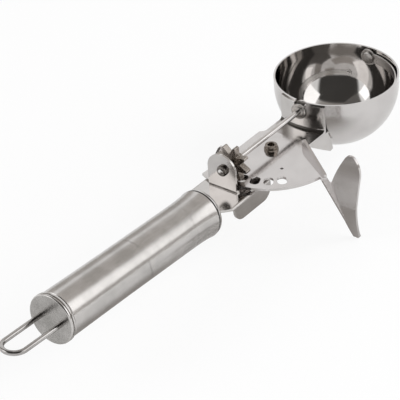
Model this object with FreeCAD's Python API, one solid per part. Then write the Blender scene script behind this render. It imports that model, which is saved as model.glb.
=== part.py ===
import FreeCAD, Part
import math
import os

# Lever ice cream scoop, in millimetres. The origin is the centre of the bowl's rim. X runs along the
# scraper shaft from the handle to the bowl, Z points out of the bowl's mouth, and the lever is on -Y.

V = FreeCAD.Vector
FIT = 0.03
RUN = 0.05
GAP = 0.3
OVER = 1.0

# Bowl
BOWL_R = 28.0
BOWL_WALL = 0.8
RIM_ROUND = 0.3
SHAFT_Z = -4.4

# Scraper shaft and its bearings
SHAFT_R = 1.2
BUSH_R = 2.6
BUSH_FLANGE_R = 3.6
BUSH_FLANGE_T = 1.0
BUSH_NOSE = 1.6
SHAFT_HEAD_R = 2.2
SHAFT_HEAD_T = 0.9
PUSH_NUT_R = 2.5
PUSH_NUT_T = 1.5
SHAFT_TAIL = 0.5

# Scraper band
BAND_GAP = 0.45
BAND_T = 0.6
BAND_W = 4.6
BAND_EYE_R = 3.9
EYE_DEPTH = 2.0

# Far pivot rivet
FAR_PIN_R = 1.5
FAR_HEAD_R = 2.7
FAR_HEAD_T = 0.8
FAR_WASHER_R = 2.9
FAR_WASHER_T = 0.3
HEAD_CROWN = 0.45

# Bracket: the upper sheet with the rear ear and the front saddle
BRACKET_TOP = -13.0
BRACKET_T = 1.0
EAR_GAP = 1.1
EAR_LEFT_Y = 8.1
EAR_RIGHT_Y = -6.4
EAR_LEFT_Z = -4.0
EAR_RIGHT_Z = -6.0
EAR_TOP_Y = 1.3
EAR_TOP_Z = 2.8
CORNER_X = -81.4
CORNER_Y = 14.4
MID_REAR_X = -58.0
MID_FRONT_X = -43.0
MID_Y = 13.2
FRONT_HALF = 11.5
NECK_IN_X = -38.5
WAIST_Y = -9.0
WAIST_REAR_X = -67.0
WAIST_FRONT_X = -41.0
REAR_EDGE_Y = -7.0
SADDLE_TOP = -0.7
SADDLE_DEPTH = 6.0
WAIST_STEP = 2.0
SADDLE_BEND_R = 1.6

# Shank: the lower sheet with four side flanges and the tang
SHANK_T = 1.2
BEND_SHARE = 0.8
SHANK_HALF = 12.0
SHANK_REAR_X = -96.0
SHANK_CORNER = 1.2
SHANK_NOTCH = 0.8
SHANK_UNDER = 8.0
NECK_HALF = 8.4
NECK_X = -99.0
TANG_HALF = 6.0
TANG_STEP_X = -110.0
TANG_STEP = 2.0
TANG_END_X = -128.0
TANG_OVER = 8.0
REAR_FLANGE_X0 = -94.5
REAR_FLANGE_X1 = -68.2
REAR_FLANGE_DROP = 8.5
REAR_FLANGE_R = 5.5
REAR_FLANGE_LEAN = 1.0
FRONT_FLANGE_X0 = -38.0
FRONT_FLANGE_MID = (-29.5, -20.4)
FRONT_FLANGE_LOW = (-22.6, -24.9)
FRONT_FLANGE_TIP = (-20.6, -24.6)
FRONT_FLANGE_NOSE = (-22.0, -19.0)
FRONT_FLANGE_TOP = (-24.5, -14.2)

# Lever
PIVOT_X = -52.0
PIVOT_Y = -1.0
LEVER_T = 1.2
LEVER_GAP = 0.3
LEVER_R = 31.0
LEVER_SIDE_Y = 12.0
LEVER_SIDE_X0 = -75.0
LEVER_SIDE_X1 = -43.0
LEVER_NOSE_X = -39.5
LEVER_NOSE_Y = 8.5
LEVER_LIP_X = -41.8
LEVER_LIP_Y = -11.4
LEVER_ROOT_X = -57.6
LEVER_ROOT_Y = -33.8
LEVER_ARC_END = -103.0
LEVER_ARC_START = 168.0
LIP_H0 = 4.0
LIP_H1 = 1.4
LIP_CORNER = 1.2
LIP_CORNER_RUN = 1.6
UPTAB_X0 = -77.0
UPTAB_X1 = -63.5
UPTAB_PEAK_X = -70.5
UPTAB_H = 7.6
UPTAB_HEEL = 0.6
UPTAB_SHOULDER = 2.2
LEVER_END_X = -59.8
LEVER_END_Y = -32.6

# Thumb plate: its bow seen from the side as (x, z), and its edge seen from behind as (y, z) arcs
THUMB_BOW = ((-54.2, 3.0), (-56.2, -18.0), (-52.2, -43.0))
THUMB_NOTCH = (-34.9, -15.2)
THUMB_TIP = (-44.4, -41.3)
THUMB_EDGE = (
    ((-34.9, -15.2), (-37.4, -8.7), (-41.2, -1.4)),
    ((-41.2, -1.4), (-43.4, 0.5), (-45.6, 0.2)),
    ((-45.6, 0.2), (-48.2, -3.0), (-49.2, -8.0)),
    ((-49.2, -8.0), (-48.2, -16.1), (-47.0, -24.0)),
    ((-47.0, -24.0), (-46.4, -32.0), (-46.3, -39.4)),
    ((-46.3, -39.4), (-45.6, -41.4), (-44.4, -41.3)),
)
THUMB_ROOT_LAP = 1.2
THUMB_FOLD_TOP = 2.6

# Windows in the lever and the pinion that runs in them
TEETH = 8
WINDOW_STEP = 13.0
WINDOW_FIRST = -4.0
WINDOWS = 5
MESH_INSET = 5.0
WINDOW_INSET = 0.7
WINDOW_LEN = 5.8
WINDOW_W = 4.2
WINDOW_ROUND = 1.9
PINION_W = 3.0
PINION_TIP_R = 8.3
PINION_ROOT_R = 4.7
TOOTH_ROOT_HALF = 1.75
TOOTH_TIP_HALF = 0.6
TOOTH_EDGE = 0.25
TOOTH_SINK = 0.2
COLLAR_R = 2.5
COLLAR_LEN = 3.6
COLLAR_EDGE = 0.5
SPACER_R = 2.1
LEVER_TRAVEL = 48.0

# Pivot rivet, its washers and the return spring
RIVET_R = 2.4
RIVET_FLANGE_R = 3.2
RIVET_FLANGE_T = 1.0
RIVET_CROWN_R = 2.7
RIVET_CROWN_H = 1.5
RIVET_EDGE = 0.35
RIVET_BORE_R = 1.5
RIVET_BORE_DEEP = 2.0
RIVET_FOOT_R = 4.2
RIVET_FOOT_T = 0.9
WASHER_R = 5.0
WASHER_SLACK = 0.05
WIRE_R = 0.45
COIL_R = 4.3
COIL_TURNS = 2
COIL_PITCH = 1.5
SPRING_LEG_R = 16.4
SPRING_LEG_ANGLE = -128.6
SPRING_FOOT_ANGLE = -104.7
SPRING_BEND_R = 1.5
SLOT_SLACK = 0.6
LEG_SLACK = 0.3
CUP_R = 5.6
CUP_T = 0.6

# Handle, in its own lengthwise measure from the butt towards the bowl
BUTT_X = -197.4
BUTT_Z = -11.3
HANDLE_SLOPE = 3.2
CAP_R = 10.95
CAP_T = 2.6
CAP_ROUND = 0.7
CAP_EDGE = 0.3
CAP_GROOVE = 0.5
CAP_GROOVE_R = 10.0
PLUG_LEN = 6.0
PLUG_SLACK = 0.06
TUBE_REAR_R = 10.45
TUBE_R = 10.2
TUBE_WALL = 0.8
TUBE_START = 3.1
TUBE_TAPER = 40.0
TUBE_FLARE = 84.0
TUBE_SWAGE = 4.0
SWAGE_SHARE = 0.4
TUBE_END = 95.2
TUBE_FRONT_R = 10.9
FRONT_CAP_T = 3.4
FRONT_CAP_FACE_R = 6.5
FRONT_CAP_DOME = ((0.0, 0.1), (1.2, 0.35), (2.55, 1.8))
FRONT_PLUG_LEN = 5.0
CORE_START = 62.0
TANG_PIN_R = 1.5
TANG_PIN_LEN = 13.0
TANG_PIN_X = -121.0

# Hanging loop
LOOP_WIRE_R = 1.1
LOOP_HALF = 5.3
LOOP_REACH = 26.8
LOOP_INSIDE = 3.0
KEEPER_R = 8.0
KEEPER_T = 1.4

BRACKET_REAR_X = PIVOT_X - LEVER_R - EAR_GAP
BRACKET_BOTTOM = BRACKET_TOP - BRACKET_T
SHANK_TOP = BRACKET_BOTTOM
SHANK_BOTTOM = SHANK_TOP - SHANK_T
LEVER_BOTTOM = BRACKET_TOP + LEVER_GAP
LEVER_TOP = LEVER_BOTTOM + LEVER_T
MESH_R = LEVER_R - MESH_INSET
WINDOW_R = MESH_R - WINDOW_INSET
PINION_X = PIVOT_X - MESH_R
BOWL_IN_R = BOWL_R - BOWL_WALL
BAND_OUT_R = BOWL_IN_R - BAND_GAP
BAND_IN_R = BAND_OUT_R - BAND_T
EAR_BACK_X = BRACKET_REAR_X - BRACKET_T
WINDOW_RATIO = 360.0 / TEETH / WINDOW_STEP
PIVOT = V(PIVOT_X, PIVOT_Y, 0)
AXIS = V(0, 0, SHAFT_Z)
ZERO_ANGLE = 180.0 + math.degrees(math.asin(PIVOT_Y / MESH_R))


def polar(radius, degrees, z=0.0):
    """A point at a radius and angle from the lever's pivot."""
    a = math.radians(degrees)
    return V(PIVOT_X + radius * math.cos(a), PIVOT_Y + radius * math.sin(a), z)


def outline_face(parts):
    """A face from a chain of points, where a triple stands for an arc's start, middle and end."""
    edges = []
    last = None
    first = None
    for item in parts:
        chain = item if isinstance(item, tuple) else (item,)
        if first is None:
            first = chain[0]
        if last is not None and last.distanceToPoint(chain[0]) > 1e-6:
            edges.append(Part.makeLine(last, chain[0]))
        if len(chain) == 3:
            edges.append(Part.Arc(*chain).toShape())
        last = chain[-1]
    if last.distanceToPoint(first) > 1e-6:
        edges.append(Part.makeLine(last, first))
    return Part.Face(Part.Wire(edges))


def plate(parts, z_low, height):
    """A flat plate from an outline drawn at z = 0."""
    face = outline_face(parts)
    face.translate(V(0, 0, z_low))
    return face.extrude(V(0, 0, height))


def rod_x(radius, x0, x1, y=0.0, z=SHAFT_Z):
    """A round bar along X."""
    return Part.makeCylinder(radius, x1 - x0, V(x0, y, z), V(1, 0, 0))


def post(radius, z0, z1, centre=PIVOT):
    """A round bar along Z."""
    return Part.makeCylinder(radius, z1 - z0, V(centre.x, centre.y, z0), V(0, 0, 1))


def box(x0, x1, y0, y1, z0, z1):
    """A block between two corners."""
    return Part.makeBox(x1 - x0, y1 - y0, z1 - z0, V(x0, y0, z0))


def fuse(*solids):
    """One solid from several that overlap."""
    body = solids[0].multiFuse(list(solids[1:]))
    return body.removeSplitter()


def along_handle(solid):
    """Set a piece drawn along +X from the butt in its place on the sloping handle."""
    solid.rotate(V(0, 0, 0), V(0, 1, 0), HANDLE_SLOPE)
    solid.translate(V(BUTT_X, 0, BUTT_Z))
    return solid


def lathe_x(points):
    """A turned piece about X from (x, radius) points."""
    wire = Part.makePolygon([V(x, 0, r) for x, r in points] + [V(points[0][0], 0, points[0][1])])
    return Part.Face(wire).revolve(V(0, 0, 0), V(1, 0, 0), 360)


def bowl_blank(radius, top):
    """A round-bottomed cup shape centred on the shaft's height."""
    ball = Part.makeSphere(radius, AXIS)
    lower = ball.common(box(-radius, radius, -radius, radius, SHAFT_Z - radius, SHAFT_Z))
    upper = Part.makeCylinder(radius, top - SHAFT_Z, AXIS)
    return lower.fuse(upper)


def on_ball(radius, off_axis):
    """How far out a round surface lies at a sideways distance from its middle."""
    return math.sqrt(radius ** 2 - off_axis ** 2)


def make_bowl():
    """The spun bowl, with the rim's slot for the bush and the far pivot's hole."""
    low = math.sqrt(0.5)
    k = RIM_ROUND * (1 - low)
    out_r = BOWL_R
    in_r = BOWL_IN_R
    section = outline_face([
        (V(0, 0, SHAFT_Z - out_r), V(out_r * low, 0, SHAFT_Z - out_r * low), V(out_r, 0, SHAFT_Z)),
        (V(out_r, 0, -RIM_ROUND), V(out_r - k, 0, -k), V(out_r - RIM_ROUND, 0, 0)),
        (V(in_r + RIM_ROUND, 0, 0), V(in_r + k, 0, -k), V(in_r, 0, -RIM_ROUND)),
        (V(in_r, 0, SHAFT_Z), V(in_r * low, 0, SHAFT_Z - in_r * low), V(0, 0, SHAFT_Z - in_r)),
    ])
    skin = section.revolve(V(0, 0, 0), V(0, 0, 1), 360)
    slot_r = BUSH_R + FIT
    reach = in_r - BUSH_FLANGE_R
    slot = rod_x(slot_r, -out_r - OVER, -reach)
    slot = slot.fuse(box(-out_r - OVER, -reach, -slot_r, slot_r, SHAFT_Z, OVER))
    far_hole = rod_x(FAR_PIN_R + FIT, reach, out_r + OVER)
    return skin.cut(slot).cut(far_hole)


def make_bush():
    """The flanged bush that carries the shaft in the rim's slot."""
    saddle_face = -BOWL_R - FIT - BRACKET_T
    nose = -BOWL_IN_R + FIT
    body = rod_x(BUSH_R, saddle_face - BUSH_NOSE, nose)
    flange = rod_x(BUSH_FLANGE_R, saddle_face - BUSH_FLANGE_T - FIT, saddle_face - FIT)
    bore = rod_x(SHAFT_R + RUN, saddle_face - BUSH_NOSE - OVER, nose + OVER)
    return fuse(body, flange).cut(bore)


def crowned_head(radius, x0, x1):
    """A short round head between two places, with a broken edge round its x1 end."""
    step = abs(x1 - x0) * HEAD_CROWN
    way = 1 if x1 > x0 else -1
    points = [(x0, 0), (x0, radius), (x1 - way * step, radius), (x1, radius - step), (x1, 0)]
    return turned_on_shaft(points)


def turned_on_shaft(points):
    """A turned piece on the shaft's axis from (x, radius) points."""
    piece = lathe_x(points)
    piece.translate(AXIS)
    return piece


def washer_x():
    """Where the far washer's outer face lies, clear of the scraper's ball-shaped eye."""
    return on_ball(BAND_IN_R, FAR_WASHER_R) - 2 * FIT


def make_far_rivet():
    """The pivot rivet through the bowl's far wall, with a head on each side."""
    inner_x = washer_x() - FAR_WASHER_T - FIT
    outer_x = BOWL_R + FIT
    shank = rod_x(FAR_PIN_R, inner_x, outer_x)
    outer = crowned_head(FAR_HEAD_R, outer_x, outer_x + FAR_HEAD_T)
    inner = crowned_head(FAR_HEAD_R, inner_x, inner_x - FAR_HEAD_T)
    return fuse(shank, outer, inner)


def make_far_washer():
    """The thin washer between the rivet's inner head and the scraper's eye."""
    x1 = washer_x()
    ring = rod_x(FAR_WASHER_R, x1 - FAR_WASHER_T, x1)
    return ring.cut(rod_x(FAR_PIN_R + FIT, x1 - FAR_WASHER_T - OVER, x1 + OVER))


def make_band():
    """The half-hoop scraper, at rest against the bowl's -Y side just under the rim."""
    shell = Part.makeSphere(BAND_OUT_R, AXIS).cut(Part.makeSphere(BAND_IN_R, AXIS))
    half = box(-BOWL_R, BOWL_R, -BOWL_R, 0, SHAFT_Z - BAND_W / 2, SHAFT_Z + BAND_W / 2)
    near_eye = rod_x(BAND_EYE_R, -BOWL_R, -BAND_IN_R + EYE_DEPTH)
    far_eye = rod_x(BAND_EYE_R, BAND_IN_R - EYE_DEPTH, BOWL_R)
    band = shell.common(fuse(half, near_eye, far_eye))
    band = band.cut(rod_x(SHAFT_R + FIT, -BOWL_R, 0))
    return band.cut(rod_x(FAR_PIN_R + RUN, 0, BOWL_R))


def make_shaft():
    """The long scraper shaft, with a riveted head inside the bowl."""
    rear = EAR_BACK_X - RUN - PUSH_NUT_T - SHAFT_TAIL
    head_x = -on_ball(BAND_IN_R, SHAFT_HEAD_R) + FIT
    shaft = rod_x(SHAFT_R, rear, head_x)
    return fuse(shaft, crowned_head(SHAFT_HEAD_R, head_x, head_x + SHAFT_HEAD_T))


def make_push_nut():
    """The domed nut pressed on the shaft's rear end behind the ear."""
    x1 = EAR_BACK_X - RUN
    nut = crowned_head(PUSH_NUT_R, x1, x1 - PUSH_NUT_T)
    return nut.cut(rod_x(SHAFT_R + FIT, x1 - PUSH_NUT_T - OVER, x1 + OVER))


def make_pinion():
    """The star-shaped pinion whose teeth run in the lever's windows."""
    rear = PINION_X - PINION_W / 2
    star = rod_x(PINION_ROOT_R, rear, rear + PINION_W)
    tip = PINION_TIP_R
    root = on_ball(PINION_ROOT_R, TOOTH_ROOT_HALF) - TOOTH_SINK
    start = -WINDOW_FIRST * WINDOW_RATIO
    teeth = []
    for i in range(TEETH):
        points = [
            V(0, -TOOTH_ROOT_HALF, -root),
            V(0, -TOOTH_TIP_HALF, -tip + TOOTH_EDGE),
            V(0, -TOOTH_TIP_HALF + TOOTH_EDGE, -tip),
            V(0, TOOTH_TIP_HALF - TOOTH_EDGE, -tip),
            V(0, TOOTH_TIP_HALF, -tip + TOOTH_EDGE),
            V(0, TOOTH_ROOT_HALF, -root),
        ]
        tooth = Part.Face(Part.makePolygon(points + [points[0]])).extrude(V(PINION_W, 0, 0))
        tooth.rotate(V(0, 0, 0), V(1, 0, 0), start + i * 360.0 / TEETH)
        tooth.translate(V(rear, 0, SHAFT_Z))
        teeth.append(tooth)
    body = fuse(star, *teeth)
    return body.cut(rod_x(SHAFT_R + FIT, rear - OVER, rear + PINION_W + OVER))


def make_collar():
    """The hub in front of the pinion."""
    x0 = PINION_X + PINION_W / 2
    body = rod_x(COLLAR_R, x0, x0 + COLLAR_LEN)
    edge = [e for e in body.Edges if abs(e.BoundBox.XMin - body.BoundBox.XMax) < 1e-6]
    body = body.makeChamfer(COLLAR_EDGE, edge)
    return body.cut(rod_x(SHAFT_R + FIT, x0 - OVER, x0 + COLLAR_LEN + OVER))


def make_spacer():
    """The sleeve that keeps the pinion off the ear."""
    x0 = BRACKET_REAR_X + RUN
    x1 = PINION_X - PINION_W / 2
    return rod_x(SPACER_R, x0, x1).cut(rod_x(SHAFT_R + FIT, x0 - OVER, x1 + OVER))


def make_bracket():
    """The upper sheet: flat middle, rear ear for the shaft and the saddle that hugs the bowl."""
    wrap = BOWL_R + FIT
    flat = plate([
        V(EAR_BACK_X, EAR_RIGHT_Y, 0),
        V(EAR_BACK_X, EAR_LEFT_Y, 0),
        V(BRACKET_REAR_X, EAR_LEFT_Y, 0),
        V(CORNER_X, CORNER_Y, 0),
        V(MID_REAR_X, MID_Y, 0),
        V(MID_FRONT_X, MID_Y, 0),
        V(NECK_IN_X, FRONT_HALF, 0),
        V(-BOWL_R + SADDLE_DEPTH, FRONT_HALF, 0),
        V(-BOWL_R + SADDLE_DEPTH, -FRONT_HALF, 0),
        V(NECK_IN_X, -FRONT_HALF, 0),
        V(WAIST_FRONT_X, WAIST_Y, 0),
        V(WAIST_REAR_X, WAIST_Y, 0),
        V(WAIST_REAR_X - WAIST_STEP, REAR_EDGE_Y, 0),
        V(BRACKET_REAR_X + BRACKET_T, REAR_EDGE_Y, 0),
    ], BRACKET_BOTTOM, BRACKET_T)
    ear_points = [
        (V(0, EAR_RIGHT_Y, EAR_RIGHT_Z), V(0, EAR_TOP_Y, EAR_TOP_Z), V(0, EAR_LEFT_Y, EAR_LEFT_Z)),
        V(0, EAR_LEFT_Y, BRACKET_BOTTOM),
        V(0, EAR_RIGHT_Y, BRACKET_BOTTOM),
    ]
    ear = outline_face(ear_points).extrude(V(BRACKET_T, 0, 0))
    ear.translate(V(EAR_BACK_X, 0, 0))
    outer = Part.makeCylinder(wrap + BRACKET_T, SADDLE_TOP - BRACKET_BOTTOM, V(0, 0, BRACKET_BOTTOM))
    front = -BOWL_R + SADDLE_DEPTH
    block = box(-wrap - BRACKET_T - OVER, front, -FRONT_HALF, FRONT_HALF, BRACKET_BOTTOM, 0)
    hug = outer.common(block)
    body = fuse(flat, ear, hug)
    bends = []
    for e in body.Edges:
        box_e = e.BoundBox
        level = abs(box_e.ZMin - BRACKET_TOP) < 1e-4 and abs(box_e.ZMax - BRACKET_TOP) < 1e-4
        if level and box_e.XMin > -wrap - BRACKET_T - GAP and box_e.YLength > FRONT_HALF:
            bends.append(e)
    body = body.makeFillet(SADDLE_BEND_R, bends)
    cavity = Part.makeCylinder(wrap, SADDLE_TOP - BRACKET_BOTTOM + 2 * OVER, V(0, 0, BRACKET_BOTTOM - OVER))
    body = body.cut(cavity)
    slot_r = BUSH_R + FIT
    notch = rod_x(slot_r, -wrap - BRACKET_T - OVER, -BOWL_R + SADDLE_DEPTH)
    notch = notch.fuse(box(-wrap - BRACKET_T - OVER, -BOWL_R + SADDLE_DEPTH, -slot_r, slot_r, SHAFT_Z, 1))
    body = body.cut(notch)
    body = body.cut(rod_x(SHAFT_R + RUN, EAR_BACK_X - OVER, BRACKET_REAR_X + OVER))
    body = body.cut(post(RIVET_R + FIT, BRACKET_BOTTOM - OVER, BRACKET_TOP + OVER))
    return body.cut(leg_slot())


def leg_slot():
    """The curved slot that lets the spring's moving leg follow the lever."""
    half = WIRE_R + SLOT_SLACK
    a0 = SPRING_LEG_ANGLE
    a1 = SPRING_LEG_ANGLE - LEVER_TRAVEL
    mid = (a0 + a1) / 2
    inner = SPRING_LEG_R - half
    outer = SPRING_LEG_R + half
    ring = plate([
        (polar(outer, a0), polar(outer, mid), polar(outer, a1)),
        (polar(inner, a1), polar(inner, mid), polar(inner, a0)),
    ], SHANK_BOTTOM - OVER, BRACKET_TOP - SHANK_BOTTOM + 2 * OVER)
    low = SHANK_BOTTOM - OVER
    high = BRACKET_TOP + OVER
    return fuse(ring, post(half, low, high, polar(SPRING_LEG_R, a0)),
                post(half, low, high, polar(SPRING_LEG_R, a1)))


def make_shank():
    """The lower sheet, with flanges turned down beside the handle and beside the bowl."""
    top = plate([
        V(TANG_END_X, TANG_HALF, 0),
        V(TANG_STEP_X, TANG_HALF, 0),
        V(TANG_STEP_X + TANG_STEP, NECK_HALF, 0),
        V(NECK_X, NECK_HALF, 0),
        V(SHANK_REAR_X, SHANK_HALF - SHANK_NOTCH, 0),
        V(SHANK_REAR_X + SHANK_CORNER, SHANK_HALF, 0),
        V(MID_FRONT_X, SHANK_HALF, 0),
        V(NECK_IN_X, FRONT_HALF, 0),
        V(-BOWL_R + SHANK_UNDER, FRONT_HALF, 0),
        V(-BOWL_R + SHANK_UNDER, -FRONT_HALF, 0),
        V(NECK_IN_X, -FRONT_HALF, 0),
        V(WAIST_FRONT_X, WAIST_Y, 0),
        V(WAIST_REAR_X, WAIST_Y, 0),
        V(REAR_FLANGE_X1, -SHANK_HALF, 0),
        V(SHANK_REAR_X + SHANK_CORNER, -SHANK_HALF, 0),
        V(SHANK_REAR_X, -SHANK_HALF + SHANK_NOTCH, 0),
        V(NECK_X, -NECK_HALF, 0),
        V(TANG_STEP_X + TANG_STEP, -NECK_HALF, 0),
        V(TANG_STEP_X, -TANG_HALF, 0),
        V(TANG_END_X, -TANG_HALF, 0),
    ], SHANK_BOTTOM, SHANK_T)
    r = REAR_FLANGE_R
    k = r * (1 - math.sqrt(0.5))
    low = SHANK_TOP - REAR_FLANGE_DROP
    x0 = REAR_FLANGE_X0
    x1 = REAR_FLANGE_X1
    lean = REAR_FLANGE_LEAN
    z0 = SHANK_BOTTOM + SHANK_T / 2
    rear = [
        V(x0, 0, z0),
        (V(x0 + lean, 0, low + r), V(x0 + lean + k, 0, low + k), V(x0 + lean + r, 0, low)),
        (V(x1 - r, 0, low), V(x1 - k, 0, low + k), V(x1, 0, low + r)),
        V(x1, 0, z0),
    ]
    mid_x, mid_z = FRONT_FLANGE_MID
    low_x, low_z = FRONT_FLANGE_LOW
    tip_x, tip_z = FRONT_FLANGE_TIP
    nose_x, nose_z = FRONT_FLANGE_NOSE
    top_x, top_z = FRONT_FLANGE_TOP
    front = [
        (V(FRONT_FLANGE_X0, 0, z0), V(mid_x, 0, mid_z), V(low_x, 0, low_z)),
        (V(tip_x, 0, tip_z), V(nose_x, 0, nose_z), V(top_x, 0, top_z)),
        V(top_x, 0, z0),
    ]
    pieces = [top]
    for side in (-1, 1):
        for parts, half in ((rear, SHANK_HALF), (front, FRONT_HALF)):
            slab = outline_face(parts).extrude(V(0, SHANK_T, 0))
            slab.translate(V(0, -half if side < 0 else half - SHANK_T, 0))
            pieces.append(slab)
    body = fuse(*pieces)
    corner = []
    for e in body.Edges:
        b = e.BoundBox
        level = abs(b.ZMin - SHANK_TOP) < 1e-4 and abs(b.ZMax - SHANK_TOP) < 1e-4
        on_side = abs(abs(b.YMin) - SHANK_HALF) < 1e-4 and b.YLength < 1e-4
        if level and on_side and b.XMax < MID_FRONT_X + 1:
            corner.append(e)
    body = body.makeFillet(SHANK_T * BEND_SHARE, corner)
    body = body.cut(bowl_blank(BOWL_R + FIT, 1))
    body = body.cut(post(RIVET_R + FIT, SHANK_BOTTOM - OVER, SHANK_TOP + OVER))
    pin = post(TANG_PIN_R + FIT, SHANK_BOTTOM - OVER, SHANK_TOP + OVER, V(TANG_PIN_X, 0, 0))
    return body.cut(pin).cut(leg_slot())


def window_at(degrees):
    """One window in the lever, as a cutter on the pinion's circle."""
    half_l = WINDOW_LEN / 2
    half_w = WINDOW_W / 2
    tool = box(WINDOW_R - half_l, WINDOW_R + half_l, -half_w, half_w, LEVER_BOTTOM - OVER, LEVER_TOP + OVER)
    upright = [e for e in tool.Edges if e.BoundBox.ZLength > LEVER_T]
    tool = tool.makeFillet(WINDOW_ROUND, upright)
    tool.rotate(V(0, 0, 0), V(0, 0, 1), degrees)
    tool.translate(PIVOT)
    return tool


def make_lever():
    """The lever: a sector with the row of windows, a raised lip, a raised tab and the thumb plate."""
    arc_mid = (LEVER_ARC_START - 360 + LEVER_ARC_END) / 2
    start = polar(LEVER_R, LEVER_ARC_START)
    end = polar(LEVER_R, LEVER_ARC_END)
    corner = V(LEVER_END_X, LEVER_END_Y, 0)
    root = V(LEVER_ROOT_X, LEVER_ROOT_Y, 0)
    lip = V(LEVER_LIP_X, LEVER_LIP_Y, 0)
    sheet = plate([
        (start, polar(LEVER_R, arc_mid), end),
        corner,
        root,
        lip,
        V(LEVER_NOSE_X, -LEVER_NOSE_Y, 0),
        V(LEVER_NOSE_X, LEVER_NOSE_Y, 0),
        V(LEVER_SIDE_X1, LEVER_SIDE_Y, 0),
        V(LEVER_SIDE_X0, LEVER_SIDE_Y, 0),
    ], LEVER_BOTTOM, LEVER_T)
    run = root - lip
    run.normalize()
    inward = V(run.y, -run.x, 0)
    if inward.x > 0:
        inward = inward * -1
    low = LEVER_BOTTOM
    lip_face = outline_face([
        lip + V(0, 0, low),
        lip + V(0, 0, LEVER_TOP + LIP_H0 - LIP_CORNER),
        lip + run * LIP_CORNER_RUN + V(0, 0, LEVER_TOP + LIP_H0),
        root + V(0, 0, LEVER_TOP + LIP_H1),
        root + V(0, 0, low),
    ])
    lip_wall = lip_face.extrude(inward * LEVER_T)
    tab_face = outline_face([
        V(UPTAB_X0, 0, LEVER_BOTTOM),
        V(UPTAB_X0 + UPTAB_HEEL, 0, LEVER_TOP + UPTAB_H * 0.55),
        V(UPTAB_PEAK_X - UPTAB_SHOULDER, 0, LEVER_TOP + UPTAB_H * 0.95),
        V(UPTAB_PEAK_X, 0, LEVER_TOP + UPTAB_H),
        V(UPTAB_X1, 0, LEVER_TOP),
        V(UPTAB_X1, 0, LEVER_BOTTOM),
    ])
    up_tab = tab_face.extrude(V(0, -LEVER_T, 0))
    up_tab.translate(V(0, LEVER_SIDE_Y, 0))
    body = fuse(sheet, lip_wall, up_tab, make_blade(), make_fold(corner))
    body = body.cut(post(RIVET_R + RUN, LEVER_BOTTOM - OVER, LEVER_TOP + OVER))
    for i in range(WINDOWS):
        body = body.cut(window_at(ZERO_ANGLE + WINDOW_FIRST + i * WINDOW_STEP))
    leg = polar(SPRING_LEG_R, SPRING_LEG_ANGLE)
    return body.cut(post(WIRE_R + LEG_SLACK, LEVER_BOTTOM - OVER, LEVER_TOP + OVER, leg))


def bow_arc(shift):
    """The thumb plate's bow in the X-Z plane, moved along X."""
    points = [V(x + shift, 0, z) for x, z in THUMB_BOW]
    return Part.Arc(*points).toShape(), points


def bow_x(z):
    """The thumb plate's X at a height."""
    face = bow_arc(0)[0]
    reach = BOWL_R / 2
    line = Part.makeLine(V(THUMB_BOW[1][0] - reach, 0, z), V(THUMB_BOW[1][0] + reach, 0, z))
    return face.distToShape(line)[1][0][0].x


def make_blade():
    """The bowed thumb plate."""
    front, a = bow_arc(0)
    back, b = bow_arc(LEVER_T)
    section = Part.Wire([front, Part.makeLine(a[2], b[2]), back, Part.makeLine(b[0], a[0])])
    sheet = Part.Face(section).extrude(V(0, -2 * LEVER_R, 0))
    chain = [tuple(V(0, y, z) for y, z in arc) for arc in THUMB_EDGE]
    chain.append(V(0, THUMB_TIP[0] + THUMB_ROOT_LAP, THUMB_TIP[1]))
    chain.append(V(0, THUMB_NOTCH[0] + THUMB_ROOT_LAP, THUMB_NOTCH[1]))
    cutter = outline_face(chain)
    cutter.translate(V(THUMB_BOW[1][0] - LEVER_T, 0, 0))
    return sheet.common(cutter.extrude(V(8 * LEVER_T, 0, 0)))


def make_fold(corner):
    """The tapering fold that carries the thumb plate down from the lever's end."""
    top = corner + V(0, 0, LEVER_TOP)
    notch = V(bow_x(THUMB_NOTCH[1]), THUMB_NOTCH[0], THUMB_NOTCH[1])
    tip = V(bow_x(THUMB_TIP[1]), THUMB_TIP[0], THUMB_TIP[1])
    normal = (notch - top).cross(tip - top)
    normal.normalize()
    level = normal.cross(V(0, 0, 1))
    level.normalize()
    points = [top, top + level * THUMB_FOLD_TOP, notch, tip]
    return Part.Face(Part.makePolygon(points + [top])).extrude(normal * LEVER_T)


def make_rivet():
    """The hollow-headed shoulder rivet that the lever turns on."""
    seat = LEVER_TOP + RUN
    shoulder = seat + RIVET_FLANGE_T
    crown_top = shoulder + RIVET_CROWN_H
    foot_top = coil_bottom() - CUP_T - 2 * FIT
    points = [
        (0, foot_top - RIVET_FOOT_T),
        (RIVET_FOOT_R, foot_top - RIVET_FOOT_T),
        (RIVET_FOOT_R, foot_top),
        (RIVET_R, foot_top),
        (RIVET_R, seat),
        (RIVET_FLANGE_R, seat),
        (RIVET_FLANGE_R, shoulder - RIVET_EDGE),
        (RIVET_FLANGE_R - RIVET_EDGE, shoulder),
        (RIVET_CROWN_R, shoulder),
        (RIVET_CROWN_R, crown_top - RIVET_EDGE),
        (RIVET_CROWN_R - RIVET_EDGE, crown_top),
        (RIVET_BORE_R, crown_top),
        (RIVET_BORE_R, crown_top - RIVET_BORE_DEEP),
        (0, crown_top - RIVET_BORE_DEEP),
    ]
    section = outline_face([V(r, 0, z) for r, z in points])
    rivet = section.revolve(V(0, 0, 0), V(0, 0, 1), 360)
    rivet.translate(PIVOT)
    return rivet


def make_washer():
    """The thin washer between the lever and the bracket."""
    ring = post(WASHER_R, BRACKET_TOP, LEVER_BOTTOM - WASHER_SLACK)
    return ring.cut(post(RIVET_R + FIT, BRACKET_TOP - OVER, LEVER_BOTTOM + OVER))


def coil_top():
    """Height of the wire's centre where the coil starts below the shank."""
    return SHANK_BOTTOM - GAP - WIRE_R


def coil_bottom():
    """Underside of the coil's last turn."""
    return coil_top() - COIL_TURNS * COIL_PITCH - WIRE_R - GAP


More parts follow.
